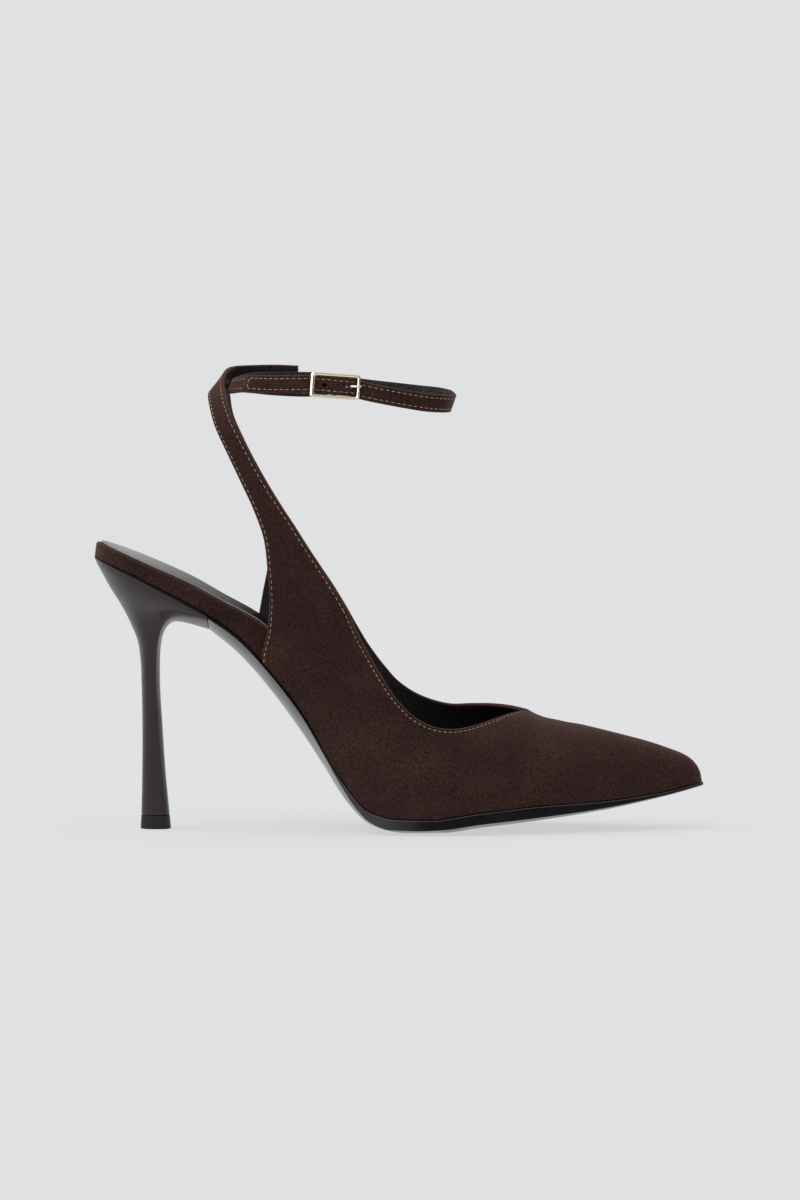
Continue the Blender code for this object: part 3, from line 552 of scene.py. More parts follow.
def add_node(tree: bpy.types.NodeTree, kind: str, **settings: Any) -> bpy.types.Node:
    """Adds a node to a tree.

    Args:
        tree: the tree.
        kind: type of the node.
        settings: its properties.

    Returns:
        The node.
    """
    node = tree.nodes.new(kind)
    for key, value in settings.items():
        setattr(node, key, value)
    return node


class NodeSheet:
    """Material with a Principled shader, and short ways to add nodes to it."""

    def __init__(self, name: str) -> None:
        """Makes the material.

        Args:
            name: its name.
        """
        self.material = bpy.data.materials.new(name)
        self.material.use_nodes = True
        self.tree = self.material.node_tree
        self.shader = self.tree.nodes["Principled BSDF"]
        self.place = self.add("ShaderNodeTexCoord").outputs["Object"]

    def add(self, kind: str, **settings: Any) -> bpy.types.Node:
        """Adds a node to the material."""
        return add_node(self.tree, kind, **settings)

    def link(self, source: Any, target: Any) -> None:
        """Joins two sockets."""
        self.tree.links.new(source, target)

    def fix(self, **values: Any) -> None:
        """Sets constant values on the shader; an underscore in a key stands for a space."""
        for key, value in values.items():
            self.shader.inputs[key.replace("_", " ")].default_value = value

    def noise(
        self,
        scale: float,
        detail: float = 2.0,
        rough: float = 0.5,
        stretch: Point = (1.0, 1.0, 1.0),
    ) -> Any:
        """Noise in the shoe's own place.

        Args:
            scale: patches per metre.
            detail: octaves.
            rough: strength of the finer octaves.
            stretch: factors on X, Y and Z.

        Returns:
            The factor's socket.
        """
        mapping = self.add("ShaderNodeMapping")
        mapping.inputs["Scale"].default_value = stretch
        self.link(self.place, mapping.inputs["Vector"])
        node = self.add("ShaderNodeTexNoise")
        node.inputs["Scale"].default_value = scale
        node.inputs["Detail"].default_value = detail
        node.inputs["Roughness"].default_value = rough
        self.link(mapping.outputs["Vector"], node.inputs["Vector"])
        return node.outputs["Fac"]

    def cells(self, scale: float) -> Any:
        """Distance to the nearest of scattered cells, as in leather grain.

        Args:
            scale: cells per metre.

        Returns:
            The distance's socket.
        """
        node = self.add("ShaderNodeTexVoronoi")
        node.inputs["Scale"].default_value = scale
        self.link(self.place, node.inputs["Vector"])
        return node.outputs["Distance"]

    def spread(self, value: Any, low: float, high: float, to_low: float = 0.0, to_high: float = 1.0) -> Any:
        """Maps a range to another, held at its ends.

        Args:
            value: socket of what is mapped.
            low: start of the range.
            high: its end.
            to_low: what the start becomes.
            to_high: what the end becomes.

        Returns:
            The result's socket.
        """
        node = self.add("ShaderNodeMapRange")
        for key, number in zip(("From Min", "From Max", "To Min", "To Max"), (low, high, to_low, to_high)):
            node.inputs[key].default_value = number
        self.link(value, node.inputs["Value"])
        return node.outputs["Result"]

    def mixed(self, factor: Any, first: Any, second: Any) -> Any:
        """Mixes two colours, each a socket or a constant.

        Args:
            factor: socket of the second colour's share.
            first: first colour.
            second: second colour.

        Returns:
            The mixture's socket.
        """
        node = self.add("ShaderNodeMix", data_type="RGBA")
        self.link(factor, node.inputs[0])
        for value, socket in ((first, node.inputs[6]), (second, node.inputs[7])):
            if isinstance(value, tuple):
                socket.default_value = (*value, 1.0)
            else:
                self.link(value, socket)
        return node.outputs[2]

    def bump(self, height: Any, depth: float, strength: float, base: Any = None) -> Any:
        """Bump of a depth in metres, on top of another bump if one is given.

        Args:
            height: socket of the pattern.
            depth: metres.
            strength: from 0 to 1.
            base: socket of the other bump, or None.

        Returns:
            The normal's socket.
        """
        node = self.add("ShaderNodeBump")
        node.inputs["Distance"].default_value = depth
        node.inputs["Strength"].default_value = strength
        self.link(height, node.inputs["Height"])
        if base is not None:
            self.link(base, node.inputs["Normal"])
        return node.outputs["Normal"]

    def worn(self) -> Any:
        """Socket of the wear and the painted edge highlight that the vertices carry."""
        return self.add("ShaderNodeAttribute", attribute_name=WEAR_AND_HIGHLIGHT).outputs["Fac"]

    def paint(self, colour: Any = None, roughness: Any = None, normal: Any = None) -> None:
        """Joins the varying colour, roughness and bump to the shader.

        Args:
            colour: socket, or None.
            roughness: socket, or None.
            normal: socket, or None.
        """
        for value, key in ((colour, "Base Color"), (roughness, "Roughness"), (normal, "Normal")):
            if value is not None:
                self.link(value, self.shader.inputs[key])


@dataclass(frozen=True)
class Suede:
    """Brushed calf suede: short nap, lighter and darker where it was stroked, painted highlights on the
    fibres' tips, and worn folds whose lighter colour is also a painted highlight of the folded edges.
    """

    name: str
    dark: Colour = (0.0222, 0.0099, 0.0083)
    light: Colour = (0.0505, 0.0230, 0.0186)
    # worn edge colour, which also stands for a painted highlight on the folded edges
    rubbed_and_highlight: Colour = (0.115, 0.060, 0.040)
    fibre_scale: float = 1050.0
    tip_scale: float = 2.6  # of the fibres' tips, against the fibres
    stroke_scale: float = 46.0
    stroke_stretch: Point = (0.7, 1.0, 1.25)
    stroke: Span = (0.32, 0.68)  # noise between the dark and the light strokes
    pore: Span = (0.36, 0.54)  # noise between the pores and the nap
    pore_dark: float = 0.5  # against the dark strokes
    tip: Span = (0.52, 0.72)  # noise between the nap and the painted highlights on the fibres' tips
    tip_highlight: float = 1.9  # painted highlight on the fibres' tips, against the light strokes
    tip_share: float = 0.85
    rub_and_highlight: Span = (0.25, 1.0)  # wear between the nap and the worn edge, which carries a painted highlight too
    rub_and_highlight_share: float = 0.4
    nap_depth: float = 0.00028
    nap_strength: Span = (0.55, 0.4)  # of the fibres and of the tips
    roughness: float = 0.92
    specular: float = 0.15
    sheen: Span = (0.22, 0.45)  # weight and roughness
    sheen_tint: Colour = (0.72, 0.42, 0.34)

    def material(self) -> bpy.types.Material:
        """Makes the material.

        Returns:
            The material.
        """
        sheet = NodeSheet(self.name)
        fibre = sheet.noise(self.fibre_scale, 3.0, 0.7)
        fine = sheet.noise(self.fibre_scale * self.tip_scale, 2.0, 0.6)
        stroke = sheet.noise(self.stroke_scale, 3.0, 0.55, self.stroke_stretch)
        base = sheet.mixed(sheet.spread(stroke, *self.stroke), self.dark, self.light)
        deep = tuple(self.pore_dark * c for c in self.dark)
        grain = sheet.mixed(sheet.spread(fibre, *self.pore), deep, base)
        # painted highlights: the fibres' tips lighter than the light strokes
        tip_highlight_colour = tuple(self.tip_highlight * c for c in self.light)
        tips = sheet.mixed(sheet.spread(fine, *self.tip, 0.0, self.tip_share), grain, tip_highlight_colour)
        # worn edges, lighter also as a painted highlight along the folds
        worn = sheet.spread(sheet.worn(), *self.rub_and_highlight, 0.0, self.rub_and_highlight_share)
        nap = sheet.bump(fibre, self.nap_depth, self.nap_strength[0])
        nap = sheet.bump(fine, self.nap_depth / 2, self.nap_strength[1], nap)
        sheet.paint(sheet.mixed(worn, tips, self.rubbed_and_highlight), None, nap)
        sheet.fix(Roughness=self.roughness, Specular_IOR_Level=self.specular)
        sheet.fix(Sheen_Weight=self.sheen[0], Sheen_Roughness=self.sheen[1])
        sheet.fix(Sheen_Tint=(*self.sheen_tint, 1.0))
        return sheet.material


@dataclass(frozen=True)
class Leather:
    """Smooth black leather with a fine grain."""

    name: str
    colour: Colour = (0.0065, 0.0068, 0.0082)
    worn: Colour = (0.013, 0.013, 0.0145)
    grain_scale: float = 1100.0
    grain_depth: float = 0.00012
    grain_strength: float = 0.5
    patch_scale: float = 90.0
    patch: Span = (0.35, 0.7)  # noise between the dyed and the worn leather
    gloss: Span = (0.3, 0.7)  # noise between the two roughnesses
    roughness: Span = (0.62, 0.8)
    specular: float = 0.3
    fleck: Colour = (0.045, 0.045, 0.048)  # raised grain that has lost its dye
    fleck_scale: float = 1.3  # against the grain
    fleck_from: Span = (0.55, 0.72)
    fleck_share: float = 0.5
    # colour of cut edges; the default is the sock's painted edge highlight
    cut_edge_and_highlight: Colour = (0.42, 0.41, 0.39)
    coat: Span = (0.0, 0.0)  # polish at the back and the front of the seat
    coat_at: Span = (-0.098, -0.055)  # metres
    coat_roughness: float = 0.22

    def material(self) -> bpy.types.Material:
        """Makes the material.

        Returns:
            The material.
        """
        sheet = NodeSheet(self.name)
        cells = sheet.cells(self.grain_scale)
        patches = sheet.noise(self.patch_scale, 3.0)
        ground = sheet.mixed(sheet.spread(patches, *self.patch), self.colour, self.worn)
        specks = sheet.noise(self.grain_scale * self.fleck_scale, 2.0)
        share = sheet.spread(specks, *self.fleck_from, 0.0, self.fleck_share)
        flecked = sheet.mixed(share, ground, self.fleck)
        # cut edges, and the painted highlight along the sock's edge
        colour = sheet.mixed(sheet.worn(), flecked, self.cut_edge_and_highlight)
        rough = sheet.spread(patches, *self.gloss, *self.roughness)
        sheet.paint(colour, rough, sheet.bump(cells, self.grain_depth, self.grain_strength))
        along = sheet.add("ShaderNodeSeparateXYZ")
        sheet.link(sheet.place, along.inputs["Vector"])
        polish = sheet.spread(along.outputs["X"], *self.coat_at, *self.coat)
        sheet.link(polish, sheet.shader.inputs["Coat Weight"])
        sheet.fix(Coat_Roughness=self.coat_roughness, Specular_IOR_Level=self.specular)
        return sheet.material


@dataclass(frozen=True)
class Lacquer:
    """Sprayed lacquer on the heel: dark taupe, satin, with a faint orange-peel skin."""

    name: str
    colour: Colour = (0.0310, 0.0204, 0.0178)
    deep: Colour = (0.0250, 0.0163, 0.0142)
    cloud_scale: float = 60.0
    cloud: Span = (0.3, 0.7)  # noise between the two roughnesses
    roughness: Span = (0.3, 0.38)
    specular: float = 0.36
    peel_scale: float = 700.0
    peel_depth: float = 0.00004
    peel_strength: float = 0.25
    coat: Span = (0.15, 0.12)  # weight and roughness

    def material(self) -> bpy.types.Material:
        """Makes the material.

        Returns:
            The material.
        """
        sheet = NodeSheet(self.name)
        clouds = sheet.noise(self.cloud_scale, 2.0)
        peel = sheet.noise(self.peel_scale, 1.0)
        sheet.paint(
            sheet.mixed(clouds, self.colour, self.deep),
            sheet.spread(clouds, *self.cloud, *self.roughness),
            sheet.bump(peel, self.peel_depth, self.peel_strength),
        )
        sheet.fix(Coat_Weight=self.coat[0], Coat_Roughness=self.coat[1])
        sheet.fix(Specular_IOR_Level=self.specular)
        return sheet.material


@dataclass(frozen=True)
class Rubber:
    """Black rubber of the sole and the top piece: fine moulded texture, slightly uneven gloss."""

    name: str
    colour: Colour = (0.0065, 0.0060, 0.0060)
    grey: Colour = (0.0105, 0.0100, 0.0100)
    patch_scale: float = 120.0
    patch: Span = (0.35, 0.7)  # noise between the two colours
    gloss: Span = (0.3, 0.7)  # noise between the two roughnesses
    roughness: Span = (0.3, 0.42)
    texture_scale: float = 2200.0
    texture_depth: float = 0.00005
    texture_strength: float = 0.25
    specular: float = 0.5
    polished: float = 0.5  # specular where the edge is polished
    coat: float = 0.0
    coat_roughness: float = 0.25

    def material(self) -> bpy.types.Material:
        """Makes the material.

        Returns:
            The material.
        """
        sheet = NodeSheet(self.name)
        patches = sheet.noise(self.patch_scale, 3.0)
        texture = sheet.noise(self.texture_scale, 2.0)
        sheet.paint(
            sheet.mixed(sheet.spread(patches, *self.patch), self.colour, self.grey),
            sheet.spread(patches, *self.gloss, *self.roughness),
            sheet.bump(texture, self.texture_depth, self.texture_strength),
        )
        shine = sheet.spread(sheet.worn(), 0.0, 1.0, self.specular, self.polished)
        sheet.link(shine, sheet.shader.inputs["Specular IOR Level"])
        sheet.fix(Coat_Weight=self.coat, Coat_Roughness=self.coat_roughness)
        return sheet.material


@dataclass(frozen=True)
class Thread:
    """Tan polyester sewing thread."""

    name: str
    colour: Colour = (0.68, 0.51, 0.36)
    shade: Colour = (0.44, 0.29, 0.18)
    strand_scale: float = 2600.0
    strand: Span = (0.35, 0.65)  # noise between the two colours
    strand_depth: float = 0.00008
    strand_strength: float = 0.4
    roughness: float = 0.6
    sheen: float = 0.15

    def material(self) -> bpy.types.Material:
        """Makes the material.

        Returns:
            The material.
        """
        sheet = NodeSheet(self.name)
        strand = sheet.noise(self.strand_scale, 2.0)
        colour = sheet.mixed(sheet.spread(strand, *self.strand), self.shade, self.colour)
        sheet.paint(colour, None, sheet.bump(strand, self.strand_depth, self.strand_strength))
        sheet.fix(Roughness=self.roughness, Sheen_Weight=self.sheen)
        return sheet.material


@dataclass(frozen=True)
class PaleGold:
    """Polished pale-gold plating with fine handling marks."""

    name: str
    colour: Colour = (0.91, 0.82, 0.65)
    tarnish: Colour = (0.82, 0.71, 0.53)
    mark_scale: float = 900.0
    mark: Span = (0.4, 0.75)  # noise between the two colours
    gloss: Span = (0.3, 0.75)  # noise between the two roughnesses
    roughness: Span = (0.12, 0.24)
    mark_depth: float = 0.00002
    mark_strength: float = 0.2

    def material(self) -> bpy.types.Material:
        """Makes the material.

        Returns:
            The material.
        """
        sheet = NodeSheet(self.name)
        marks = sheet.noise(self.mark_scale, 3.0, 0.6)
        sheet.paint(
            sheet.mixed(sheet.spread(marks, *self.mark), self.colour, self.tarnish),
            sheet.spread(marks, *self.gloss, *self.roughness),
            sheet.bump(marks, self.mark_depth, self.mark_strength),
        )
        sheet.fix(Metallic=1.0)
        return sheet.material


@dataclass
class Last:
    """Bottom of the last: the outline, the feather line and the bed that the other pieces follow."""

    gap: float = 0.3
    heel_x: float = -112.0
    heel_round_x: float = -87.0
    toe_x: float = 111.1
    toe_round_x: float = 97.0
    rows: tuple[BottomRow, ...] = BOTTOM

    def __post_init__(self) -> None:
        """Makes the curves of the table's columns."""
        self.feather = Curve(self.rows, "feather")
        self.bed = Curve(self.rows, "bed")
        self.centre = Curve(self.rows, "centre")
        self.half = Curve(self.rows, "half")

    def half_width(self, x: Any) -> Any:
        """Half width of the insole, rounded at the heel and at the toe.

        Args:
            x: places along the shoe.

        Returns:
            The half widths there.
        """
        heel = np.clip((self.heel_round_x - x) / (self.heel_round_x - self.heel_x), 0.0, 1.0)
        toe = np.clip((x - self.toe_round_x) / (self.toe_x - self.toe_round_x), 0.0, 1.0)
        return self.half(x) * np.sqrt(1.0 - heel**2) * np.sqrt(1.0 - toe**4)

    def place_at(self, angle: Any) -> Any:
        """Place along the shoe for an angle from 0 at the heel to pi at the toe."""
        return self.heel_x + (self.toe_x - self.heel_x) * (1.0 - np.cos(angle)) / 2.0

    def angle_at(self, x: Any) -> Any:
        """Angle from 0 at the heel to pi at the toe for a place along the shoe."""
        return np.arccos(np.clip(1.0 - 2.0 * (x - self.heel_x) / (self.toe_x - self.heel_x), -1.0, 1.0))

    def stations(self, start: float, end: float, step: float) -> list[float]:
        """Places along the shoe.

        Args:
            start: first place.
            end: last place.
            step: distance between them along the edge of the insole.

        Returns:
            The places, both ends among them.
        """
        fine = self.place_at(np.linspace(self.angle_at(start), self.angle_at(end), 3000))
        edge = np.stack((fine, self.half_width(fine), self.feather(fine)), axis=1)
        run = run_along(edge)
        count = math.ceil(run[-1] / step)
        return [float(x) for x in np.interp(np.linspace(0.0, run[-1], count + 1), run, fine)]

    def outline(self, x: float, side: int, grow: float) -> np.ndarray:
        """Point of the insole's outline in plan, moved outward by grow.

        Args:
            x: place along the shoe.
            side: side of the shoe.
            grow: distance outward.

        Returns:
            X and Y.
        """
        angle = float(self.angle_at(x))
        ends = np.array((max(0.0, angle - 1e-3), angle, min(math.pi, angle + 1e-3)))
        here = self.place_at(ends)
        points = np.stack((here, self.centre(here) + side * self.half_width(here)), axis=1)
        run = points[2] - points[0]
        normal = np.array((-run[1], run[0])) * side
        if angle < 1e-6:
            normal = np.array((-1.0, 0.0))
        if angle > math.pi - 1e-6:
            normal = np.array((1.0, 0.0))
        return points[1] + grow * normal / np.linalg.norm(normal)

    def inset(self, x: float, side: int, depth: float) -> np.ndarray:
        """Point of the insole's outline in plan, moved inward; both sides meet at the ends.

        Args:
            x: place along the shoe.
            side: side of the shoe.
            depth: distance inward.

        Returns:
            X and Y.
        """
        near = np.clip(float(self.angle_at(x)) + np.array((-1e-3, 1e-3)), 0.0, math.pi)
        spots = self.place_at(near)
        run, fall = np.diff(spots)[0], np.diff(self.half_width(spots))[0]
        here = x + depth * fall / math.hypot(run, fall)
        across = self.half_width(x) * (1.0 - depth / self.half(x))
        return np.array((here, float(self.centre(here)) + side * float(across)))

    def lift(self, curve: Curve, x: Any, gap: float) -> Any:
        """Height of a line that keeps a gap above a curve, measured square to it."""
        return curve(x) + gap * np.sqrt(1.0 + curve.slope(x) ** 2)

    def feather_point(self, x: float, side: int, grow: float) -> np.ndarray:
        """Point just above the sole's top, outside the insole's outline by grow."""
        px, py = self.outline(x, side, grow)
        return np.array((px, py, float(self.lift(self.feather, px, self.gap))))


@dataclass(frozen=True)
class Stitch:
    """One stitch and how far it is from the next."""

    pitch: float = 2.3
    length: float = 1.55
    width: float = 0.25
    height: float = 0.26
    slant: float = 0.06  # radians either way
    seed: int = 7


class SewnLine:
    """Geometry Nodes tree that lays stitches along the edges of a line mesh."""

    UP = "sewn_up"  # vertex attribute: the direction out of the leather

    def __init__(self) -> None:
        """Builds the tree."""
        self.tree = bpy.data.node_groups.new("sewn_line", "GeometryNodeTree")
        self.inputs: dict[str, str] = {}
        self._socket("Geometry", "NodeSocketGeometry")
        for name in ("Pitch", "Length", "Width", "Height", "Slant"):
            self._socket(name, "NodeSocketFloat")
        self._socket("Seed", "NodeSocketInt")
        self._socket("Thread", "NodeSocketMaterial")
        self.tree.interface.new_socket("Geometry", in_out="OUTPUT", socket_type="NodeSocketGeometry")
        self._lay_out()

    def _socket(self, name: str, kind: str) -> None:
        """Adds a named input and keeps its identifier."""
        self.inputs[name] = self.tree.interface.new_socket(name, in_out="INPUT", socket_type=kind).identifier

    def _node(self, kind: str, **settings: Any) -> bpy.types.Node:
        """Adds a node to the tree."""
        return add_node(self.tree, kind, **settings)

    def _lay_out(self) -> None:
        """Adds the nodes and joins them."""
        link = self.tree.links.new
        given = self._node("NodeGroupInput").outputs
        curve = self._node("GeometryNodeMeshToCurve")
        link(given["Geometry"], curve.inputs["Mesh"])
        spaced = self._node("GeometryNodeResampleCurve", mode="LENGTH")
        link(curve.outputs["Curve"], spaced.inputs["Curve"])
        link(given["Pitch"], spaced.inputs["Length"])
        ball = self._node("GeometryNodeMeshUVSphere")
        for key, value in (("Segments", 8), ("Rings", 5), ("Radius", 0.5)):
            ball.inputs[key].default_value = value
        turned = self._node("GeometryNodeTransform")
        turned.inputs["Rotation"].default_value = (0.0, math.pi / 2, 0.0)
        link(ball.outputs["Mesh"], turned.inputs["Geometry"])
        sizes = self._node("ShaderNodeCombineXYZ")
        for axis, name in zip("XYZ", ("Length", "Width", "Height")):
            link(given[name], sizes.inputs[axis])
        along = self._node("FunctionNodeAlignRotationToVector", axis="X")
        link(self._node("GeometryNodeInputTangent").outputs["Tangent"], along.inputs["Vector"])
        up = self._node("GeometryNodeInputNamedAttribute", data_type="FLOAT_VECTOR")
        up.inputs["Name"].default_value = self.UP
        upright = self._node("FunctionNodeAlignRotationToVector", axis="Z", pivot_axis="X")
        link(along.outputs["Rotation"], upright.inputs["Rotation"])
        link(up.outputs["Attribute"], upright.inputs["Vector"])
        chance = self._node("FunctionNodeRandomValue", data_type="FLOAT")
        negative = self._node("ShaderNodeMath", operation="MULTIPLY")
        negative.inputs[1].default_value = -1.0
        link(given["Slant"], negative.inputs[0])
        link(negative.outputs["Value"], chance.inputs[2])
        link(given["Slant"], chance.inputs[3])
        link(given["Seed"], chance.inputs["Seed"])
        slant = self._node("FunctionNodeAxisAngleToRotation")
        slant.inputs["Axis"].default_value = (0.0, 0.0, 1.0)
        link(chance.outputs[1], slant.inputs["Angle"])
        rotated = self._node("FunctionNodeRotateRotation", rotation_space="LOCAL")
        link(upright.outputs["Rotation"], rotated.inputs["Rotation"])
        link(slant.outputs["Rotation"], rotated.inputs["Rotate By"])
        laid = self._node("GeometryNodeInstanceOnPoints")
        link(spaced.outputs["Curve"], laid.inputs["Points"])
        link(turned.outputs["Geometry"], laid.inputs["Instance"])
        link(rotated.outputs["Rotation"], laid.inputs["Rotation"])
        link(sizes.outputs["Vector"], laid.inputs["Scale"])
        real = self._node("GeometryNodeRealizeInstances")
        link(laid.outputs["Instances"], real.inputs["Geometry"])
        smooth = self._node("GeometryNodeSetShadeSmooth")
        link(real.outputs["Geometry"], smooth.inputs["Geometry"])
        painted = self._node("GeometryNodeSetMaterial")
        link(smooth.outputs["Geometry"], painted.inputs["Geometry"])
        link(given["Thread"], painted.inputs["Material"])
        link(painted.outputs["Geometry"], self._node("NodeGroupOutput").inputs["Geometry"])

    def sew(
        self,
        name: str,
        lines: Sequence[Seam],
        stitch: Stitch,
        thread: bpy.types.Material,
    ) -> bpy.types.Object:
        """Sews some lines.

        Args:
            name: name of the piece.
            lines: places of each line in millimetres, and the directions out of the leather there.
            stitch: the stitch.
            thread: its material.

        Returns:
            One plain mesh of all the stitches.
        """
        verts, ups, edges = [], [], []
        for places, outward in lines:
            start = len(verts)
            verts += (np.asarray(places) * MM).tolist()
            ups += np.asarray(outward).tolist()
            edges += [(start + i, start + i + 1) for i in range(len(places) - 1)]
        mesh = bpy.data.meshes.new(name)
        mesh.from_pydata(verts, edges, [])
        layer = mesh.attributes.new(self.UP, "FLOAT_VECTOR", "POINT")
        layer.data.foreach_set("vector", np.asarray(ups, np.float32).ravel())
        obj = placed(name, mesh)
        sewing = obj.modifiers.new("sewing", "NODES")
        sewing.node_group = self.tree
        for key in ("Pitch", "Length", "Width", "Height"):
            sewing[self.inputs[key]] = getattr(stitch, key.lower()) * MM
        sewing[self.inputs["Slant"]] = stitch.slant
        sewing[self.inputs["Seed"]] = stitch.seed
        sewing[self.inputs["Thread"]] = thread
        return baked(obj)


@dataclass
class Quarter:
    """Sections of one quarter and its sling, sampled from the sole or back edge to the topline."""

    grid: list[list[int]]
    from_low: np.ndarray  # distance of each vertex from the low edge, square to it
    from_top: np.ndarray  # and from the topline
    feet: int  # how many sections stand on the sole


@dataclass
class Upper:
    """Vamp, quarters and slings: one sheet with a real wall, suede outside and leather inside."""

    last: Last
    wall: float = 1.4
    throat_x: float = 47.4
    ridge_round_x: float = 90.0
    toe_lean: float = 9.0
    toe_blunt: int = 8
    step: float = 1.7
    edge_steps: tuple[float, ...] = (0.0, 0.7, 1.0, 1.2, 1.4, 1.6, 1.8, 2.1, 2.6)
    middle_steps: int = 16
    rim_steps: int = 6
    fold: float = 0.45  # how far the folded edge rounds inward
    seam: float = 1.45  # stitches to the topline
    back_seam: float = 1.1  # stitches to the slings' back edges
    turned: float = 1.45  # width of the suede turned over the topline onto the inside
    tucked: int = 4  # sections of the inner sling that lie under the outer one
    seam_depth: float = 0.16
    seam_width: float = 0.3
    thread_lift: float = 0.1
    throat_seam: float = 2.2  # stitches in front of the throat
    throat_up: Point = (0.3, 0.0, 0.95)
    throat_skip: int = 3  # sections beside the throat that the stitches cut across
    sling_skip: int = 3  # sections before the sling where its stitches start
    rub_and_highlight_width: float = 0.55  # of the folded edges' wear and painted highlight
    crease_gap: Span = (1.0, 5.0)  # distances from an edge between which creases deepen
    samples: int = 161
    edge_room: float = 2.6  # shortest section whose edge steps are full, in their reach
    least_sine: float = 0.3
    creases: tuple[Crease, ...] = (
        Crease((58.0, -12.0, 36.0), (0.25, 0.9, 0.1), 15.0, 3.2, 0.22),
        Crease((66.0, -13.0, 32.0), (0.3, 0.9, 0.1), 13.0, 3.0, 0.16),
        Crease((60.0, 16.0, 35.0), (-0.25, 0.9, -0.2), 14.0, 3.2, 0.18),
        Crease((2.0, -36.0, 22.0), (0.75, 0.0, 0.65), 17.0, 4.2, 0.28),
        Crease((16.0, -37.0, 20.0), (0.8, 0.0, 0.55), 15.0, 4.0, 0.2),
        Crease((-6.0, 33.0, 26.0), (0.7, 0.0, 0.7), 16.0, 4.2, 0.25),
        Crease((-32.0, -30.0, 78.0), (0.5, 0.0, 0.86), 18.0, 4.5, 0.2),
        Crease((-64.0, -20.0, 148.0), (0.75, 0.2, -0.6), 4.5, 2.6, 0.2),
        Crease((-67.5, -6.0, 160.0), (0.4, 0.1, 0.9), 4.5, 2.4, 0.18),
    )

    def __post_init__(self) -> None:
        """Sets the sizes that follow from the others."""
        self.middle = self.last.gap + self.wall / 2
        self.ridge = Curve(RIDGE, "height")
        self.verts: list[np.ndarray] = []
        self.edge_gap: list[float] = []  # to the nearest free edge
        self.groove_gap: list[float] = []  # to the nearest line of stitches
        self.top_gap: list[float] = []  # to the topline
        self.pinned: dict[int, tuple[np.ndarray, np.ndarray]] = {}
        self.faces: list[tuple[int, ...]] = []
        self.quarters: list[Quarter] = []

    def arched(self, low: Any, top: Any, side: int, foot_turn: float, top_turn: float) -> np.ndarray:
        """Control points of a section that bends outward by the two angles from a straight line.

        Args:
            low: its low end.
            top: its top.
            side: side of the shoe.
            foot_turn: degrees of the bend at the low end.
            top_turn: degrees of the bend at the top.

        Returns:
            Four points from the low end to the top.
        """
        chord = top - low
        length = np.linalg.norm(chord)
        along = chord / length
        out = np.array((0.0, float(side), 0.0))
        out -= along * (out @ along)
        out /= np.linalg.norm(out)
        foot, head = math.radians(foot_turn), math.radians(top_turn)
        turn = max(1e-3, foot + head)
        reach = length * (4.0 / 3.0) * math.tan(turn / 4.0) / (2.0 * math.sin(turn / 2.0))
        first = low + reach * (math.cos(foot) * along + math.sin(foot) * out)
        second = top - reach * (math.cos(head) * along - math.sin(head) * out)
        return np.array((low, first, second, top))

    def vamp_section(self, x: float, side: int) -> np.ndarray:
        """Control points of the vamp's section on one side, from the sole to the ridge.

        Args:
            x: place along the shoe.
            side: side of the shoe.

        Returns:
            Four points.
        """
        low = self.last.feather_point(x, side, self.middle)
        other = self.last.feather_point(x, -side, self.middle)
        ridge_x = 0.5 * (low[0] + other[0])
        u = max(0.0, (ridge_x - self.ridge_round_x) / (self.last.toe_x + self.middle - self.ridge_round_x))
        height = float(self.ridge(ridge_x)) * math.sqrt(max(0.0, 1.0 - u**self.toe_blunt))
        floor = float(self.last.feather(ridge_x)) + self.last.gap
        top = np.array((ridge_x, float(self.last.centre(x)), floor + height))
        rise = math.degrees(math.atan2(top[2] - low[2], abs(top[1] - low[1])))
        return self.arched(low, top, side, 90.0 + self.toe_lean - rise, rise)

    def rib(self, control: np.ndarray) -> tuple[np.ndarray, np.ndarray, np.ndarray]:
        """Points of a section, close together at both edges.

        Args:
            control: its four control points.

        Returns:
            The points from the low end to the top, and their distances from the low end and the top.
        """
        s = np.linspace(0.0, 1.0, self.samples)[:, None]
        fine = (1 - s) ** 3 * control[0] + 3 * s * (1 - s) ** 2 * control[1]
        fine = fine + 3 * s * s * (1 - s) * control[2] + s**3 * control[3]
        run = run_along(fine)
        total = run[-1]
        edge = np.array(self.edge_steps) * min(1.0, total / (self.edge_room * self.edge_steps[-1]))
        inner = np.linspace(edge[-1], total - edge[-1], self.middle_steps + 1)[1:-1]
        places = np.concatenate((edge, inner, total - edge[::-1]))
        points = np.stack([np.interp(places, run, fine[:, c]) for c in range(3)], axis=1)
        return points, places, total - places

    def quarter_sections(self, side: Side, walls: Any, slings: Any) -> tuple[np.ndarray, list[float]]:
        """Sections of one quarter and its sling.

        Args:
            side: side of the shoe.
            walls: table of the quarter.
            slings: table of the sling.

        Returns:
            Control points of the sections, and the stations of those that stand on the sole.
        """
        rows, feet = [self.vamp_section(self.throat_x, side)], [self.throat_x]
        for row in walls:
            low = self.last.feather_point(row.low_x, side, self.middle)
            top = np.array((row.top_x, row.top_y, row.top_z))
            rows.append(self.arched(low, top, side, row.foot_turn, row.top_turn))
            feet.append(row.low_x)
        for row in slings:
            low = np.array((row.low_x, row.low_y, row.low_z))
            top = np.array((row.top_x, row.top_y, row.top_z))
            rows.append(self.arched(low, top, side, 0.0, 0.0))
        moves = np.linalg.norm(np.diff(np.array(rows), axis=0), axis=2).max(axis=1)
        steps = [max(1, math.ceil(move / self.step)) for move in moves]
        sections = flow(rows, steps)
        places = flow([[[foot]] for foot in feet], steps[: len(walls)])[:, 0, 0]
        for k, place in enumerate(places):
            move = self.last.feather_point(place, side, self.middle) - sections[k][0]
            sections[k][:2] += move
        return sections, [float(p) for p in places]

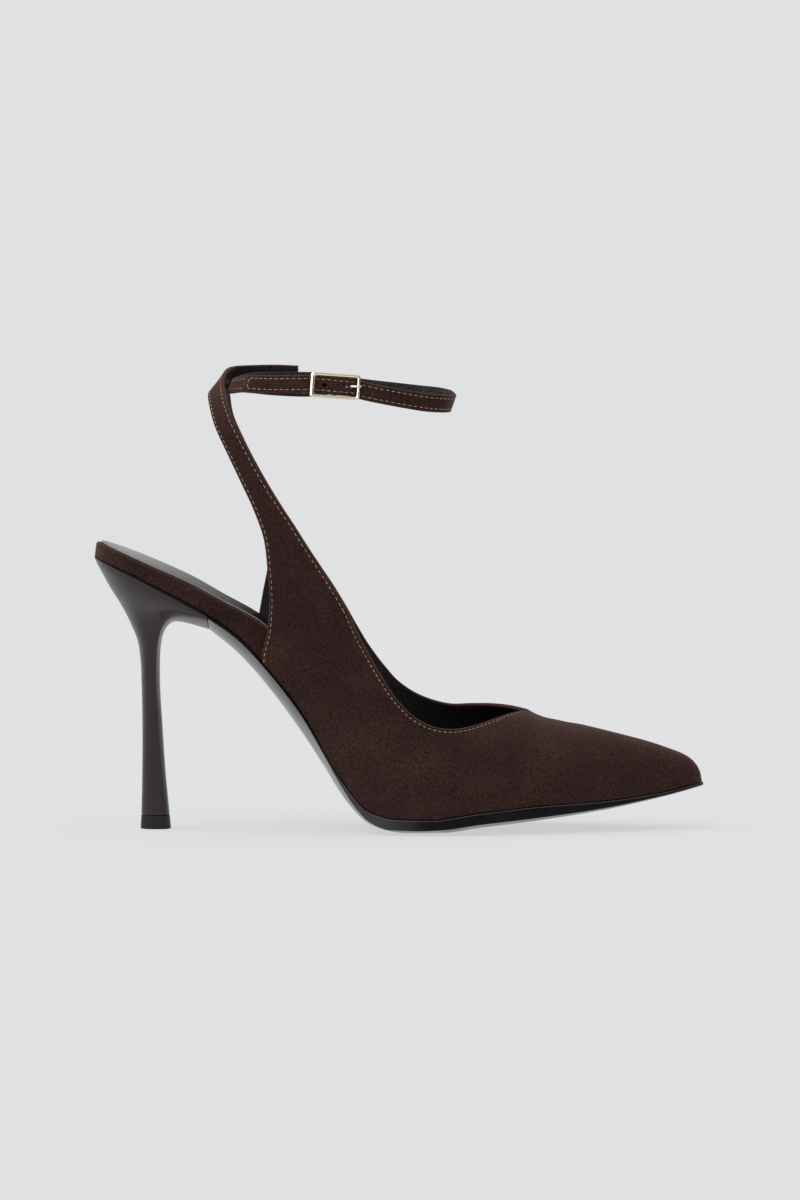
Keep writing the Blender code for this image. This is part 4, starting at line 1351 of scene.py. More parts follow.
    def add(self, point: np.ndarray, gap: float = FAR) -> int:
        """Adds a vertex of the sheet.

        Args:
            point: its place.
            gap: distance to the nearest stitched edge.

        Returns:
            The vertex's index.
        """
        self.verts.append(point)
        self.edge_gap.append(gap)
        self.groove_gap.append(abs(gap - self.seam))
        self.top_gap.append(gap)
        return len(self.verts) - 1

    def pin(self, index: int, foot: float, side: int) -> None:
        """Fixes both faces of the wall at a vertex that stands on the sole."""
        outer = self.last.feather_point(foot, side, self.last.gap + self.wall)
        self.pinned[index] = (outer, self.last.feather_point(foot, side, self.last.gap))

    def lay_vamp(self) -> list[list[int]]:
        """Lays the vamp from the throat to the toe.

        Returns:
            Its rows of vertices.
        """
        rows = []
        tip = self.add(self.last.feather_point(self.last.toe_x, Side.OUTER, self.middle))
        self.pin(tip, self.last.toe_x, Side.OUTER)
        throat = self.vamp_section(self.throat_x, Side.OUTER)[3]
        for x in self.last.stations(self.throat_x, self.last.toe_x, self.step)[:-1]:
            outer = self.rib(self.vamp_section(x, Side.OUTER))[0]
            inner = self.rib(self.vamp_section(x, Side.INNER))[0]
            line = np.concatenate((outer, inner[-2::-1]))
            gaps = np.linalg.norm(line - throat, axis=1)
            row = [self.add(p, g) for p, g in zip(line, gaps)]
            self.pin(row[0], x, Side.OUTER)
            self.pin(row[-1], x, Side.INNER)
            rows.append(row)
        for a, b in zip(rows, rows[1:]):
            self.faces += [(a[j], b[j], b[j + 1], a[j + 1]) for j in range(len(a) - 1)]
        self.faces += [(rows[-1][j], tip, rows[-1][j + 1]) for j in range(len(rows[-1]) - 1)]
        return rows

    def lay_quarter(self, side: Side, walls: Any, slings: Any, throat_row: list[int]) -> None:
        """Lays one quarter and its sling on from the vamp's first row.

        Args:
            side: side of the shoe.
            walls: table of the quarter.
            slings: table of the sling.
            throat_row: vertices of the vamp's first row on that side.
        """
        sections, feet = self.quarter_sections(side, walls, slings)
        ribs = [self.rib(section) for section in sections]
        low_run = np.gradient(np.array([r[0][0] for r in ribs]), axis=0)
        top_run = np.gradient(np.array([r[0][-1] for r in ribs]), axis=0)
        grid, from_low, from_top = [throat_row], [], []
        for k, (points, low_way, top_way) in enumerate(ribs):
            low_sine = self.sine(points[1] - points[0], low_run[k])
            top_sine = self.sine(points[-1] - points[-2], top_run[k])
            from_low.append(low_way * low_sine)
            from_top.append(top_way * top_sine)
            if k == 0:
                for index, gap in zip(throat_row, from_top[0]):
                    self.edge_gap[index] = min(self.edge_gap[index], gap)
                    self.groove_gap[index] = min(self.groove_gap[index], abs(gap - self.seam))
                    self.top_gap[index] = min(self.top_gap[index], gap)
                continue
            on_sole = k < len(feet)
            gaps = from_top[k] if on_sole else np.minimum(from_low[k], from_top[k])
            row = [self.add(p, g) for p, g in zip(points, gaps)]
            if on_sole:
                self.pin(row[0], feet[k], side)
            else:
                grooves = np.minimum(np.abs(from_low[k] - self.back_seam), np.abs(from_top[k] - self.seam))
                for index, groove, gap in zip(row, grooves, from_top[k]):
                    self.groove_gap[index], self.top_gap[index] = float(groove), float(gap)
            last = grid[-1]
            for j in range(len(row) - 1):
                quad = (row[j], last[j], last[j + 1], row[j + 1])
                self.faces.append(quad if side == Side.OUTER else quad[::-1])
            grid.append(row)
        self.quarters.append(Quarter(grid, np.array(from_low), np.array(from_top), len(feet)))

    def sine(self, first: np.ndarray, second: np.ndarray) -> float:
        """Sine of the angle between two directions, kept off zero."""
        cross = np.linalg.norm(np.cross(first, second))
        return max(self.least_sine, cross / (np.linalg.norm(first) * np.linalg.norm(second)))

    def dent(self, points: np.ndarray) -> np.ndarray:
        """Height of the creases at some places: troughs with a soft ridge on either side.

        Args:
            points: the places.

        Returns:
            The heights, below zero in a trough.
        """
        total = np.zeros(len(points))
        for crease in self.creases:
            along = np.array(crease.along) / np.linalg.norm(crease.along)
            away = points - np.array(crease.middle)
            run = away @ along
            across = np.linalg.norm(away - run[:, None] * along, axis=1) / crease.width
            fade = bell(run, crease.reach) * bell(across, 1.0)
            total -= crease.depth * fade * (1.0 - across**2)
        return total

    def sheet_normals(self) -> np.ndarray:
        """Directions out of the sheet at its vertices.

        Returns:
            One direction for each vertex.
        """
        verts = np.array(self.verts)
        normals = np.zeros_like(verts)
        for face in self.faces:
            a, b, c, d = (verts[i] for i in (face if len(face) == 4 else (*face, face[0])))
            normals[list(face)] += np.cross(c - a, d - b) if len(face) == 4 else np.cross(b - a, c - a)
        return normals / np.linalg.norm(normals, axis=1)[:, None]

    def build(self, suede: bpy.types.Material, lining: bpy.types.Material) -> bpy.types.Object:
        """Builds the upper.

        Args:
            suede: material of the outside, the folded edges and the turned-over topline.
            lining: material of the rest of the inside and of the slings' ends.

        Returns:
            The piece.
        """
        rows = self.lay_vamp()
        ribs = len(rows[0]) // 2 + 1
        self.lay_quarter(Side.OUTER, OUTER_WALL, OUTER_SLING, rows[0][:ribs])
        self.lay_quarter(Side.INNER, INNER_WALL, INNER_SLING, rows[0][: ribs - 2 : -1])
        self.normals = self.sheet_normals()
        middle = np.array(self.verts)
        gaps = np.array(self.edge_gap)
        dents = self.dent(middle) * ease(gaps, *self.crease_gap)
        seams = self.seam_depth * bell(np.array(self.groove_gap), self.seam_width)
        self.outer = middle + self.normals * (self.wall / 2 + dents - seams)[:, None]
        inner = middle + self.normals * (dents - self.wall / 2)[:, None]
        for index, (out, within) in self.pinned.items():
            self.outer[index], inner[index] = out, within
        count = len(middle)
        verts = [*self.outer, *inner]
        # wear and painted highlight along the free edges of the outside
        wear = [*bell(gaps, self.rub_and_highlight_width), *np.zeros(count)]
        faces = list(self.faces) + [tuple(count + i for i in face[::-1]) for face in self.faces]
        slots = [0] * len(self.faces)
        over, under = self.quarters
        ends = {*over.grid[-1], *(index for row in under.grid[-self.tucked :] for index in row)}
        turned = {index for index, gap in enumerate(self.top_gap) if gap <= self.turned} - ends
        slots += [0 if turned.issuperset(face) else 1 for face in self.faces]
        rims = self.rim_points(verts, wear, middle, inner)
        for a, b in self.border:
            chain_a, chain_b = rims[a], rims[b]
            for k in range(len(chain_a) - 1):
                faces.append((chain_b[k], chain_a[k], chain_a[k + 1], chain_b[k + 1]))
                slots.append(1 if a in ends and b in ends else 0)
        return mesh_object("upper_suede", verts, faces, (suede, lining), slots, wear=wear)

    def rim_points(
        self,
        verts: list[np.ndarray],
        wear: list[float],
        middle: np.ndarray,
        inner: np.ndarray,
    ) -> dict[int, list[int]]:
        """Adds the rounded edge of the sheet.

        Args:
            verts: vertices so far, which grow; the outer and inner ones at the border move in.
            wear: wear and painted edge highlight of each vertex, which grows too.
            middle: middle of the wall at each vertex of the sheet.
            inner: inner face at each vertex of the sheet.

        Returns:
            For each border vertex, the vertices of its rim from the outside to the inside.
        """
        uses = set()
        for face in self.faces:
            uses.update(zip(face, (*face[1:], face[0])))
        self.border = sorted((a, b) for a, b in uses if (b, a) not in uses)
        outward: dict[int, np.ndarray] = {}
        for a, b in self.border:
            run = middle[b] - middle[a]
            for index in (a, b):
                away = np.cross(run / np.linalg.norm(run), self.normals[index])
                outward[index] = outward.get(index, np.zeros(3)) + away
        count, rims = len(middle), {}
        for index, away in outward.items():
            away = away / np.linalg.norm(away)
            chain = [index]
            for k in range(1, self.rim_steps):
                turn = math.pi * k / self.rim_steps
                if index in self.pinned:
                    point = self.outer[index] + (inner[index] - self.outer[index]) * k / self.rim_steps
                else:
                    reach = self.fold * (math.sin(turn) - 1.0)
                    across = self.wall / 2 * math.cos(turn)
                    point = middle[index] + away * reach + self.normals[index] * across
                verts.append(point)
                # the folded rim gets full wear and painted highlight
                wear.append(0.0 if index in self.pinned else 1.0)
                chain.append(len(verts) - 1)
            if index not in self.pinned:
                verts[index] = verts[index] - away * self.fold
                verts[count + index] = verts[count + index] - away * self.fold
            rims[index] = [*chain, count + index]
        return rims

    def seam_line(self, quarter: Quarter, ways: np.ndarray, inset: float, first: int) -> Seam:
        """Line of stitches inside one edge of a quarter.

        Args:
            quarter: the quarter.
            ways: distance of each vertex from that edge, square to it.
            inset: distance of the stitches from that edge.
            first: first section of the line.

        Returns:
            Places and directions out of the suede.
        """
        places, ups = [], []
        for k in range(first, len(quarter.grid)):
            index = quarter.grid[k]
            order = np.argsort(ways[k])
            way = ways[k][order]
            outer, normal = self.outer[index][order], self.normals[index][order]
            at = [np.interp(inset, way, outer[:, c]) for c in range(3)]
            up = [np.interp(inset, way, normal[:, c]) for c in range(3)]
            places.append(at)
            ups.append(up)
        return np.array(places) + np.array(ups) * self.thread_lift, np.array(ups)

    def seams(self) -> tuple[list[Seam], list[Seam]]:
        """Lines of stitches.

        Returns:
            The line round the topline, and the lines along both edges of the slings.
        """
        outer, inner = self.quarters
        there, there_up = self.seam_line(outer, outer.from_top, self.seam, self.throat_skip)
        back, back_up = self.seam_line(inner, inner.from_top, self.seam, self.throat_skip)
        throat = self.vamp_section(self.throat_x + self.throat_seam, Side.OUTER)[3]
        throat = throat + np.array((0.0, 0.0, self.wall / 2))
        one, two = outer.feet - self.sling_skip, inner.feet - self.sling_skip
        line = np.concatenate((there[:one][::-1], throat[None], back[:two]))
        ups = np.concatenate((there_up[:one][::-1], np.array([self.throat_up]), back_up[:two]))
        lines = [(there[one:], there_up[one:]), (back[two:], back_up[two:])]
        for quarter in (outer, inner):
            lines.append(self.seam_line(quarter, quarter.from_low, self.back_seam, quarter.feet - 1))
        return [(line, ups)], lines


@dataclass
class Footbed:
    """Insole wrapped in suede, whose rim shows round the open seat, and the black sock on it."""

    last: Last
    lean: float = 0.5
    rim_round: float = 1.7
    toe_clear: float = 1.0
    toe_from: Span = (90.0, 108.0)  # where the rim draws in at the toe
    hidden_lean: float = 0.2  # share of the lean where the upper covers the rim
    bare_from: Span = (20.0, 50.0)  # where it leans fully, behind the middle
    rim_levels: tuple[Span, ...] = ((0.0, 1.0), (0.35, 0.62), (0.75, 0.25), (1.0, 0.0))  # lean, height to go
    least_high: float = 0.3
    rub_and_highlight: Span = (0.35, 0.5)  # wear and painted highlight where the rim starts to round, and what comes on top
    rub_and_highlight_share: float = 0.45
    sock_inset: float = 2.6
    sock_thick: float = 0.4
    sock_narrow: float = 16.0
    sock_roll: float = 0.8
    sock_edge: float = 0.25  # thickness of the rolled edge, as a share
    edge_highlight_width: float = 0.35  # of the painted highlight along the sock's edge
    # strength of that painted highlight
    edge_highlight: float = 0.8
    pad_x: float = -86.0
    pad_long: float = 20.0
    pad_high: float = 1.0
    step: float = 1.8
    round_steps: int = 6
    across: int = 28

    def build_rim(self, suede: bpy.types.Material) -> bpy.types.Object:
        """Builds the insole with its rounded rim.

        Args:
            suede: its material.

        Returns:
            The piece.
        """
        rings, wear = [], []
        for x in self.last.stations(self.last.heel_x, self.last.toe_x, self.step):
            bare = self.hidden_lean + (1.0 - self.hidden_lean) * float(ease(-x, *self.bare_from))
            clear = self.toe_clear * float(ease(x, *self.toe_from))
            profile = [(part * self.lean, share, self.rim_round) for part, share in self.rim_levels]
            for k in range(1, self.round_steps + 1):
                turn = math.pi / 2 * k / self.round_steps
                depth = self.lean + self.rim_round * (1.0 - math.cos(turn))
                profile.append((depth, 0.0, self.rim_round * (1.0 - math.sin(turn))))
            ring = []
            for side in Side:
                line = []
                for depth, share, below in profile:
                    px, py = self.last.inset(x, side, depth * bare + clear)
                    low = float(self.last.lift(self.last.feather, px, self.last.gap))
                    high = max(low + self.least_high, float(self.last.bed(px)) - below)
                    line.append((px, py, high + share * (low - high)))
                # wear and painted highlight on the rim's rounding
                start, rise = self.rub_and_highlight
                rubbed_and_highlight = [0.0] * (len(self.rim_levels) - 1)
                rubbed_and_highlight += [start + rise * k / self.round_steps for k in range(self.round_steps + 1)]
                ring += line if side == Side.OUTER else line[::-1]
                wear += rubbed_and_highlight if side == Side.OUTER else rubbed_and_highlight[::-1]
            rings.append(ring)
        verts, faces = loft(rings, capped=False)
        rubbed_and_highlight = np.array(wear) * self.rub_and_highlight_share
        return mesh_object("insole_rim", verts, faces, (suede,), sharp=50.0, wear=rubbed_and_highlight)

    def build_sock(self, leather: bpy.types.Material) -> bpy.types.Object:
        """Builds the sock, padded under the heel of the foot and rolled over at its edge.

        Args:
            leather: its material.

        Returns:
            The piece.
        """
        rings, wear = [], []
        for x in self.last.stations(self.last.heel_x, self.last.toe_x, self.step):
            left, right = (self.last.inset(x, side, self.sock_inset) for side in Side)
            shares = 0.5 - 0.5 * np.cos(np.linspace(0.0, math.pi, self.across + 1))
            plan = left * (1 - shares[:, None]) + right * shares[:, None]
            bed, slope = self.last.bed(plan[:, 0]), self.last.bed.slope(plan[:, 0])
            steep = np.sqrt(1.0 + slope**2)
            width = right[1] - left[1]
            pad = bell(plan[:, 0] - self.pad_x, self.pad_long)
            dome = self.pad_high * (1.0 - (2 * shares - 1) ** 2) * pad * min(1.0, width / self.sock_narrow)
            edge = np.minimum(shares, 1.0 - shares) * width
            rolled = np.sqrt(1.0 - (1.0 - np.clip(edge / self.sock_roll, 0.0, 1.0)) ** 2)
            thick = self.sock_thick * (self.sock_edge + (1.0 - self.sock_edge) * rolled) + dome
            low = bed + self.last.gap * steep
            high = bed + (self.last.gap + thick) * steep
            lower = np.column_stack((plan, low))
            upper = np.column_stack((plan, high))
            rings.append(np.concatenate((lower, upper[::-1])))
            # painted highlight along the sock's rolled edge
            pale = self.edge_highlight * bell(edge, self.edge_highlight_width)
            wear += [*pale, *pale]
        verts, faces = loft(rings, capped=False)
        return mesh_object("seat_sock", verts, faces, (leather,), sharp=60.0, wear=wear)


@dataclass
class Bottom:
    """Outsole, heel and top piece."""

    last: Last
    wall: float = 1.4
    welt: float = 0.5
    rim_grow: float = 0.2
    seat_end_x: float = -69.6
    bevel: float = 0.3
    bevel_part: float = 0.3  # most of the edge's height that the bevel takes
    shoulder: float = 0.5  # rounding of the sole's upper edge
    shoulder_part: float = 0.4  # most of the edge's height that it takes
    corner_steps: int = 3
    flare: Span = (-58.0, -46.0)  # where the sole grows to its full width
    level: float = 0.5  # share of the width that lies flat under the ball
    level_from: Span = (-26.0, -8.0)
    polish_from: Span = (-34.0, -22.0)  # where the shoulder is polished
    polish_to: Span = (-8.0, 14.0)  # where the edge below it turns dull again
    across: int = 37
    joint_shade: Span = (0.12, 0.4)  # painted shade: black strip under the rim, behind and in front
    step: float = 1.7
    corner: float = 0.93
    widest: float = 0.42
    front_steps: int = 14
    flat_steps: int = 8
    back_steps: int = 22
    per_row: int = 6
    top_piece_high: float = 5.0
    top_piece_levels: tuple[Span, ...] = (  # height, and how far the outline is drawn in
        (5.0, 0.15), (4.85, 0.0), (2.5, 0.0), (0.3, 0.0), (0.1, 0.12), (0.0, 0.3),
    )

    def __post_init__(self) -> None:
        """Makes the curves of the underside."""
        self.edge = Curve(TREAD, "edge")
        self.tread = Curve(TREAD, "tread")

    def build_outsole(self, rubber: bpy.types.Material, ink: bpy.types.Material) -> bpy.types.Object:
        """Builds the sole: level tread, raised toe, convex waist and a softened edge.

        Args:
            rubber: material of the underside.
            ink: material of the edge.

        Returns:
            The piece.
        """
        full = self.last.gap + self.wall + self.welt
        base = np.sin(np.linspace(-math.pi / 2, math.pi / 2, self.across))
        rings, wear = [], []
        for x in self.last.stations(self.seat_end_x, self.last.toe_x, self.step):
            grow = self.rim_grow + (full - self.rim_grow) * float(ease(x, *self.flare))
            left, right = (self.last.outline(x, side, grow) for side in Side)
            if not rings:
                left[0] = right[0] = self.seat_end_x
            half = max(1e-3, (right[1] - left[1]) / 2)
            soft = min(0.5, self.bevel / half)
            high = float(self.last.feather(left[0]))
            shoulder = min(self.shoulder, self.shoulder_part * (high - float(self.edge(left[0]))))
            level = self.level * float(ease(x, *self.level_from))
            shares = base * (1.0 - soft)
            plan = self.plan(left, right, shares)
            rise = np.clip((np.abs(shares) - level) / (1.0 - level), 0.0, 1.0) ** 2
            tread, edge = self.tread(plan[:, 0]), self.edge(plan[:, 0])
            under = np.column_stack((plan, tread + rise * (edge - tread)))
            shares = base * (1.0 - min(0.5, shoulder / half))
            plan = self.plan(left, right, shares)
            over = np.column_stack((plan, self.last.feather(plan[:, 0])))[::-1]
            sides = [self.side(right, left, shoulder), self.side(left, right, shoulder)]
            rings.append(np.concatenate((under, sides[0], over, sides[1][::-1])))
            corner = float(ease(x, *self.polish_from))
            bare = corner * (1.0 - float(ease(x, *self.polish_to)))
            shine = [bare, bare, *[corner] * self.corner_steps]
            wear += [0.0] * len(base) + shine + [0.0] * len(base) + shine[::-1]
        verts, faces = loft(rings)
        size, under_count = len(rings[0]), len(base)
        slots = [0 if k % size < under_count - 1 else 1 for k in range(len(faces))]
        return mesh_object("rubber_sole", verts, faces, (rubber, ink), slots, sharp=50.0, wear=wear)

    @staticmethod
    def plan(left: np.ndarray, right: np.ndarray, shares: np.ndarray) -> np.ndarray:
        """Places between two ends in plan, for shares from -1 at the left to 1 at the right."""
        return (left * (1 - shares[:, None]) + right * (1 + shares[:, None])) / 2

    def side(self, end: np.ndarray, other: np.ndarray, shoulder: float) -> np.ndarray:
        """Side of the sole at one end of its section, from the lower edge to the rounded shoulder.

        Args:
            end: the section's end in plan.
            other: its other end.
            shoulder: radius of the shoulder.

        Returns:
            The side's points upward.
        """
        low, high = float(self.edge(end[0])), float(self.last.feather(end[0]))
        inward = (other - end) / max(1e-3, float(np.linalg.norm(other - end)))
        bevel = min(self.bevel, self.bevel_part * (high - low))
        points = [(*end, low + bevel), (*end, high - shoulder)]
        for k in range(1, self.corner_steps + 1):
            turn = math.pi / 2 * k / (self.corner_steps + 1)
            place = end + inward * shoulder * (1.0 - math.cos(turn))
            points.append((*place, high - shoulder * (1.0 - math.sin(turn))))
        return np.array(points)

    def heel_ring(self, row: HeelRow) -> np.ndarray:
        """Closed section of the heel: bowed breast, two corners, rounded back.

        Args:
            row: sizes of the section.

        Returns:
            Its points.
        """
        u = np.linspace(0.0, 1.0, self.front_steps + 1)
        front_x, front_z = row.front_x - row.bow_x * u * u, row.front_z + row.bow_z * u * u
        breast = np.column_stack((front_x, u * self.corner * row.half, front_z))
        k = np.arange(1, self.flat_steps + 1) / self.flat_steps
        turn = math.pi / 2 * np.arange(1, self.back_steps + 1) / self.back_steps
        s = np.concatenate((self.widest * k, self.widest + (1 - self.widest) * np.sin(turn)))
        rise = self.corner + (1 - self.corner) * np.sin(math.pi / 2 * k)
        wide = np.concatenate((rise, np.cos(turn)))
        start = np.array((row.front_x - row.bow_x, row.front_z + row.bow_z))
        line = start + s[:, None] * (np.array((row.back_x, row.back_z)) - start)
        flank = np.column_stack((line[:, 0], row.half * wide, line[:, 1]))
        half = np.concatenate((breast, flank))
        return np.concatenate((half * (1, -1, 1), half[-2:0:-1]))

    def seat_ring(self) -> np.ndarray:
        """Top section of the heel, under the insole's rim.

        Returns:
            Its points, as many as in the other sections.
        """
        front = self.seat_end_x - self.last.gap
        middle = float(self.last.centre(front))
        across = float(self.last.half_width(front)) + self.rim_grow
        half_in, half_out = [], []
        for k in range(self.front_steps + 1):
            half_in.append((front, middle + across * k / self.front_steps))
            half_out.append((front, middle - across * k / self.front_steps))
        count = self.flat_steps + self.back_steps
        for angle in np.linspace(float(self.last.angle_at(front)), 0.0, count + 1)[1:]:
            x = float(self.last.place_at(angle))
            half_in.append(tuple(self.last.outline(x, Side.INNER, self.rim_grow)))
            half_out.append(tuple(self.last.outline(x, Side.OUTER, self.rim_grow)))
        plan = np.array(half_out + half_in[-2:0:-1])
        return np.column_stack((plan, self.last.feather(plan[:, 0])))

    def build_heel(self, lacquer: bpy.types.Material, ink: bpy.types.Material) -> bpy.types.Object:
        """Builds the heel: concave back, bowed breast, short lip under the waist.

        Args:
            lacquer: material of the heel.
            ink: material of the black strip where it meets the rim, which paints the shade there.

        Returns:
            The piece.
        """
        rows = flow([[row] for row in HEEL], [self.per_row] * (len(HEEL) - 1))[:, 0, :]
        rings = [self.heel_ring(HeelRow(*row)) for row in rows]
        seat = self.seat_ring()
        # painted shade: black ink strip at the heel's top, under the rim
        thin, broad = self.joint_shade
        share = thin + (broad - thin) * ease(seat[:, 0], self.last.heel_x, self.seat_end_x)
        below = seat + (rings[0] - seat) * share[:, None]
        verts, faces = loft([seat, below] + rings)
        slots = [1 if k < len(seat) else 0 for k in range(len(faces))]
        return mesh_object("lacquered_heel", verts, faces, (lacquer, ink), slots, sharp=42.0)

    def build_top_piece(self, rubber: bpy.types.Material) -> bpy.types.Object:
        """Builds the wearing piece under the heel, with softened edges.

        Args:
            rubber: its material.

        Returns:
            The piece.
        """
        rings = []
        for z, inward in self.top_piece_levels:
            s = z / self.top_piece_high
            row = HeelRow(*(a + (b - a) * s for a, b in zip(TOP_PIECE, HEEL[-1])))
            row = row._replace(back_x=row.back_x + inward, front_x=row.front_x - inward)
            rings.append(self.heel_ring(row._replace(half=row.half - inward, back_z=z, front_z=z)))
        verts, faces = loft(rings)
        return mesh_object("rubber_top_piece", verts, faces, (rubber,), sharp=35.0)


@dataclass(frozen=True)
class StrapRun:
    """Section of the strap: its middle, its directions outward and up, and its thickness."""

    middle: np.ndarray
    out: np.ndarray
    up: np.ndarray
    thick: float

    def at(self, out: float, rise: float) -> np.ndarray:
        """Point at a distance out of the strap's middle and a height along its width."""
        return self.middle + out * self.out + rise * self.up


@dataclass
class AnkleStrap:
    """Strap folded round the buckle's pin, round the ankle and back through the buckle; frame and prong."""

    width: float = 6.7
    thick: float = 1.4
    fold_thick: float = 0.7
    tail_offset: float = 1.8
    loop_mid_x: float = -20.65
    loop_long: float = 40.75
    loop_deep: float = 26.0
    loop_egg: float = 0.15
    loop_square: float = 0.3  # the loop's blunt front
    loop_round: float = 40.0  # and its round back
    loop_blend: Span = (-0.3, 0.3)  # parts of the half length between which the one becomes the other
    front_lean: float = 15.0  # degrees that the strap's top leans outward in front
    front_from: Span = (8.0, 19.0)
    back_lean: float = 34.0  # and inward behind
    back_from: Span = (44.0, 60.0)  # behind the middle
    buckle_x: float = -23.1
    tail_end_x: float = -54.6
    pin_radius: float = 0.6
    pin_clear: float = 0.2
    fold_rows: tuple[Span, ...] = (  # under layer: behind the pin, and inward of it
        (7.5, 1.75), (6.0, 1.72), (4.5, 1.65), (3.2, 1.5), (2.0, 1.3), (1.0, 1.18),
    )
    fold_turns: int = 17
    fold_end: float = 2.2  # where the fold's outer layer joins the loop, behind the pin
    fold_rise: float = 1.15
    fold_near: Span = (1.5, 7.0)  # distances from the pin over which the fold runs out
    tail_from: Span = (0.45, 1.3)  # turns past the front over which the tail moves out
    tail_rise: float = 0.85
    tail_near: Span = (0.6, 6.5)  # distances from the pin over which the tail bows over it
    edge_round: float = 0.5
    edge_steps: tuple[float, ...] = (0.0, 0.3, 0.55, 0.8, 1.05, 1.35, 1.8)
    edge_turns: int = 6
    lining_from: Span = (2.0, 1.1)  # turns at the upper and the lower edge where the lining starts
    # wear and painted highlight on the rounded edges
    rub_and_highlight: float = 0.9
    rub_and_highlight_width: float = 0.6
    seam: float = 1.35
    seam_depth: float = 0.14
    seam_width: float = 0.28
    seam_skip: tuple[int, int] = (6, 3)  # runs at the fold and at the tail without stitches
    seam_sink: float = 0.04
    end_seam: tuple[float, ...] = (-1.0, 0.0, 1.0)
    end_lift: float = 0.05
    points: int = 250
    hole_at: float = 5.0
    hole_pitch: float = 8.7
    hole_radius: float = 0.75
    hole_drawn: Span = (1.4, 0.9)  # half length and half height of the hole in use
    hole_reach: Span = (-0.85, 2.6)
    hole_sides: int = 24
    slot_x: Span = (-2.2, 1.8)
    slot_half: float = 0.9
    slot_z: Span = (-2.35, 1.65)
    frame_long: float = 18.4
    frame_high: float = 9.3
    frame_offset: float = 3.0
    frame_lift: float = 0.85
    frame_slope: float = -0.07
    bar: float = 1.15
    end_bar: float = 1.75
    frame_corner: float = 1.3
    opening_corner: float = 0.5
    corner_points: int = 9
    frame_sides: int = 16
    frame_square: Span = (0.45, 0.6)  # powers that flatten the bar's section across and outward
    post: tuple[Span, ...] = (  # bend from the frame to the pin: toward the middle, and outward
        (0.0, 1.6), (0.0, 0.8), (0.1, 0.45), (0.25, 0.22), (0.5, 0.07), (0.8, 0.0),
    )
    pin_half: float = 1.5  # straight part of the pin
    pin_fit: float = 0.95
    prong_radius: float = 0.45
    prong_slope: float = 0.05
    prong_clear: float = 0.12
    prong_rest: float = 0.1
    prong_turn: tuple[int, int, int] = (60, 360, 16)  # degrees from and to, and points
    prong_rise: tuple[Span, ...] = ((2.6, 0.1), (3.7, 0.35), (4.4, 0.95), (4.9, 1.8), (5.4, 2.7), (6.1, 3.5))
    prong_tip: tuple[Span, ...] = ((7.1, -0.05), (8.4, 0.0), (9.6, -0.1))  # over its rest on the front bar
    tube_end: float = 0.7
    level: Curve = field(default_factory=lambda: Curve(STRAP_LEVEL, "z"))
    under_shift: Curve = field(default_factory=lambda: Curve(UNDER_SHIFT, "z"))
    far_shift: Curve = field(default_factory=lambda: Curve(FAR_SHIFT, "z"))
    tail_shift: Curve = field(default_factory=lambda: Curve(TAIL_SHIFT, "z"))

    def loop_point(self, angle: float, offset: float) -> np.ndarray:
        """Point of the egg-shaped loop in plan, moved outward by offset.

        Args:
            angle: radians from the front.
            offset: distance outward.

        Returns:
            X and Y.
        """
        turns = np.array((angle - 1e-4, angle, angle + 1e-4))
        long, wide = np.cos(turns), np.sin(turns)
        blunt = self.loop_square + (self.loop_round - self.loop_square) * ease(-long, *self.loop_blend)
        deep = wide * np.sqrt((1.0 + blunt) / (wide**2 + blunt)) * (1.0 - self.loop_egg * long)
        plan = np.column_stack((self.loop_mid_x + self.loop_long * long, self.loop_deep * deep))
        run = plan[2] - plan[0]
        return plan[1] + offset * np.array((run[1], -run[0])) / np.linalg.norm(run)

    def loop_angle(self, x: float) -> float:
        """Angle of the loop at a place along the shoe, on the outer side."""
        return -math.acos((x - self.loop_mid_x) / self.loop_long)

    def path(self) -> tuple[list[StrapRun], int]:
        """Way of the strap from its fold to its tail.

        Returns:
            Its runs, and the index of the one where its round of the ankle starts.
        """
        pin_angle = self.loop_angle(self.buckle_x)
        pin = self.loop_point(pin_angle, 0.0)
        out = self.loop_point(pin_angle, 1.0) - pin
        back = np.array((out[1], -out[0]))
        radius = self.pin_radius + self.pin_clear + self.fold_thick / 2
        fold = []
        for run, depth in self.fold_rows:
            fold.append(pin + back * run - out * depth)
        for turn in np.linspace(-math.pi / 2, math.pi / 2, self.fold_turns):
            fold.append(pin + radius * (math.sin(turn) * out - math.cos(turn) * back))
        rows = []
        for place in fold:
            rows.append((place, self.fold_thick, float(self.under_shift(place[0])), self.frame_slope))
        start = self.loop_angle(self.buckle_x - self.fold_end)
        stop = self.loop_angle(self.tail_end_x) - 2 * math.pi
        for angle in np.linspace(start, stop, self.points):
            past = -(angle + 2 * math.pi)
            here = self.loop_point(angle, 0.0)[0]
            near = abs(here - self.buckle_x)
            offset = self.tail_offset * float(ease(past, *self.tail_from))
            thick, shift, tilt = self.thick, float(self.far_shift(here)), float(self.level.slope(here))
            if past > 0.0:
                shift = float(self.tail_shift(here))
            if past > 1.0:
                offset += self.tail_rise * (1.0 - float(ease(near, *self.tail_near)))
            elif past < -math.pi:
                share = float(ease(near, *self.fold_near))
                offset += self.fold_rise * (1.0 - share)
                thick = self.fold_thick + (self.thick - self.fold_thick) * share
                shift = float(self.under_shift(here))
                tilt = self.frame_slope + (tilt - self.frame_slope) * share
            rows.append((self.loop_point(angle, offset), thick, shift, tilt))
        ways = np.gradient(np.array([row[0] for row in rows]), axis=0)
        return [self.run(way, *row) for way, row in zip(ways, rows)], len(fold)

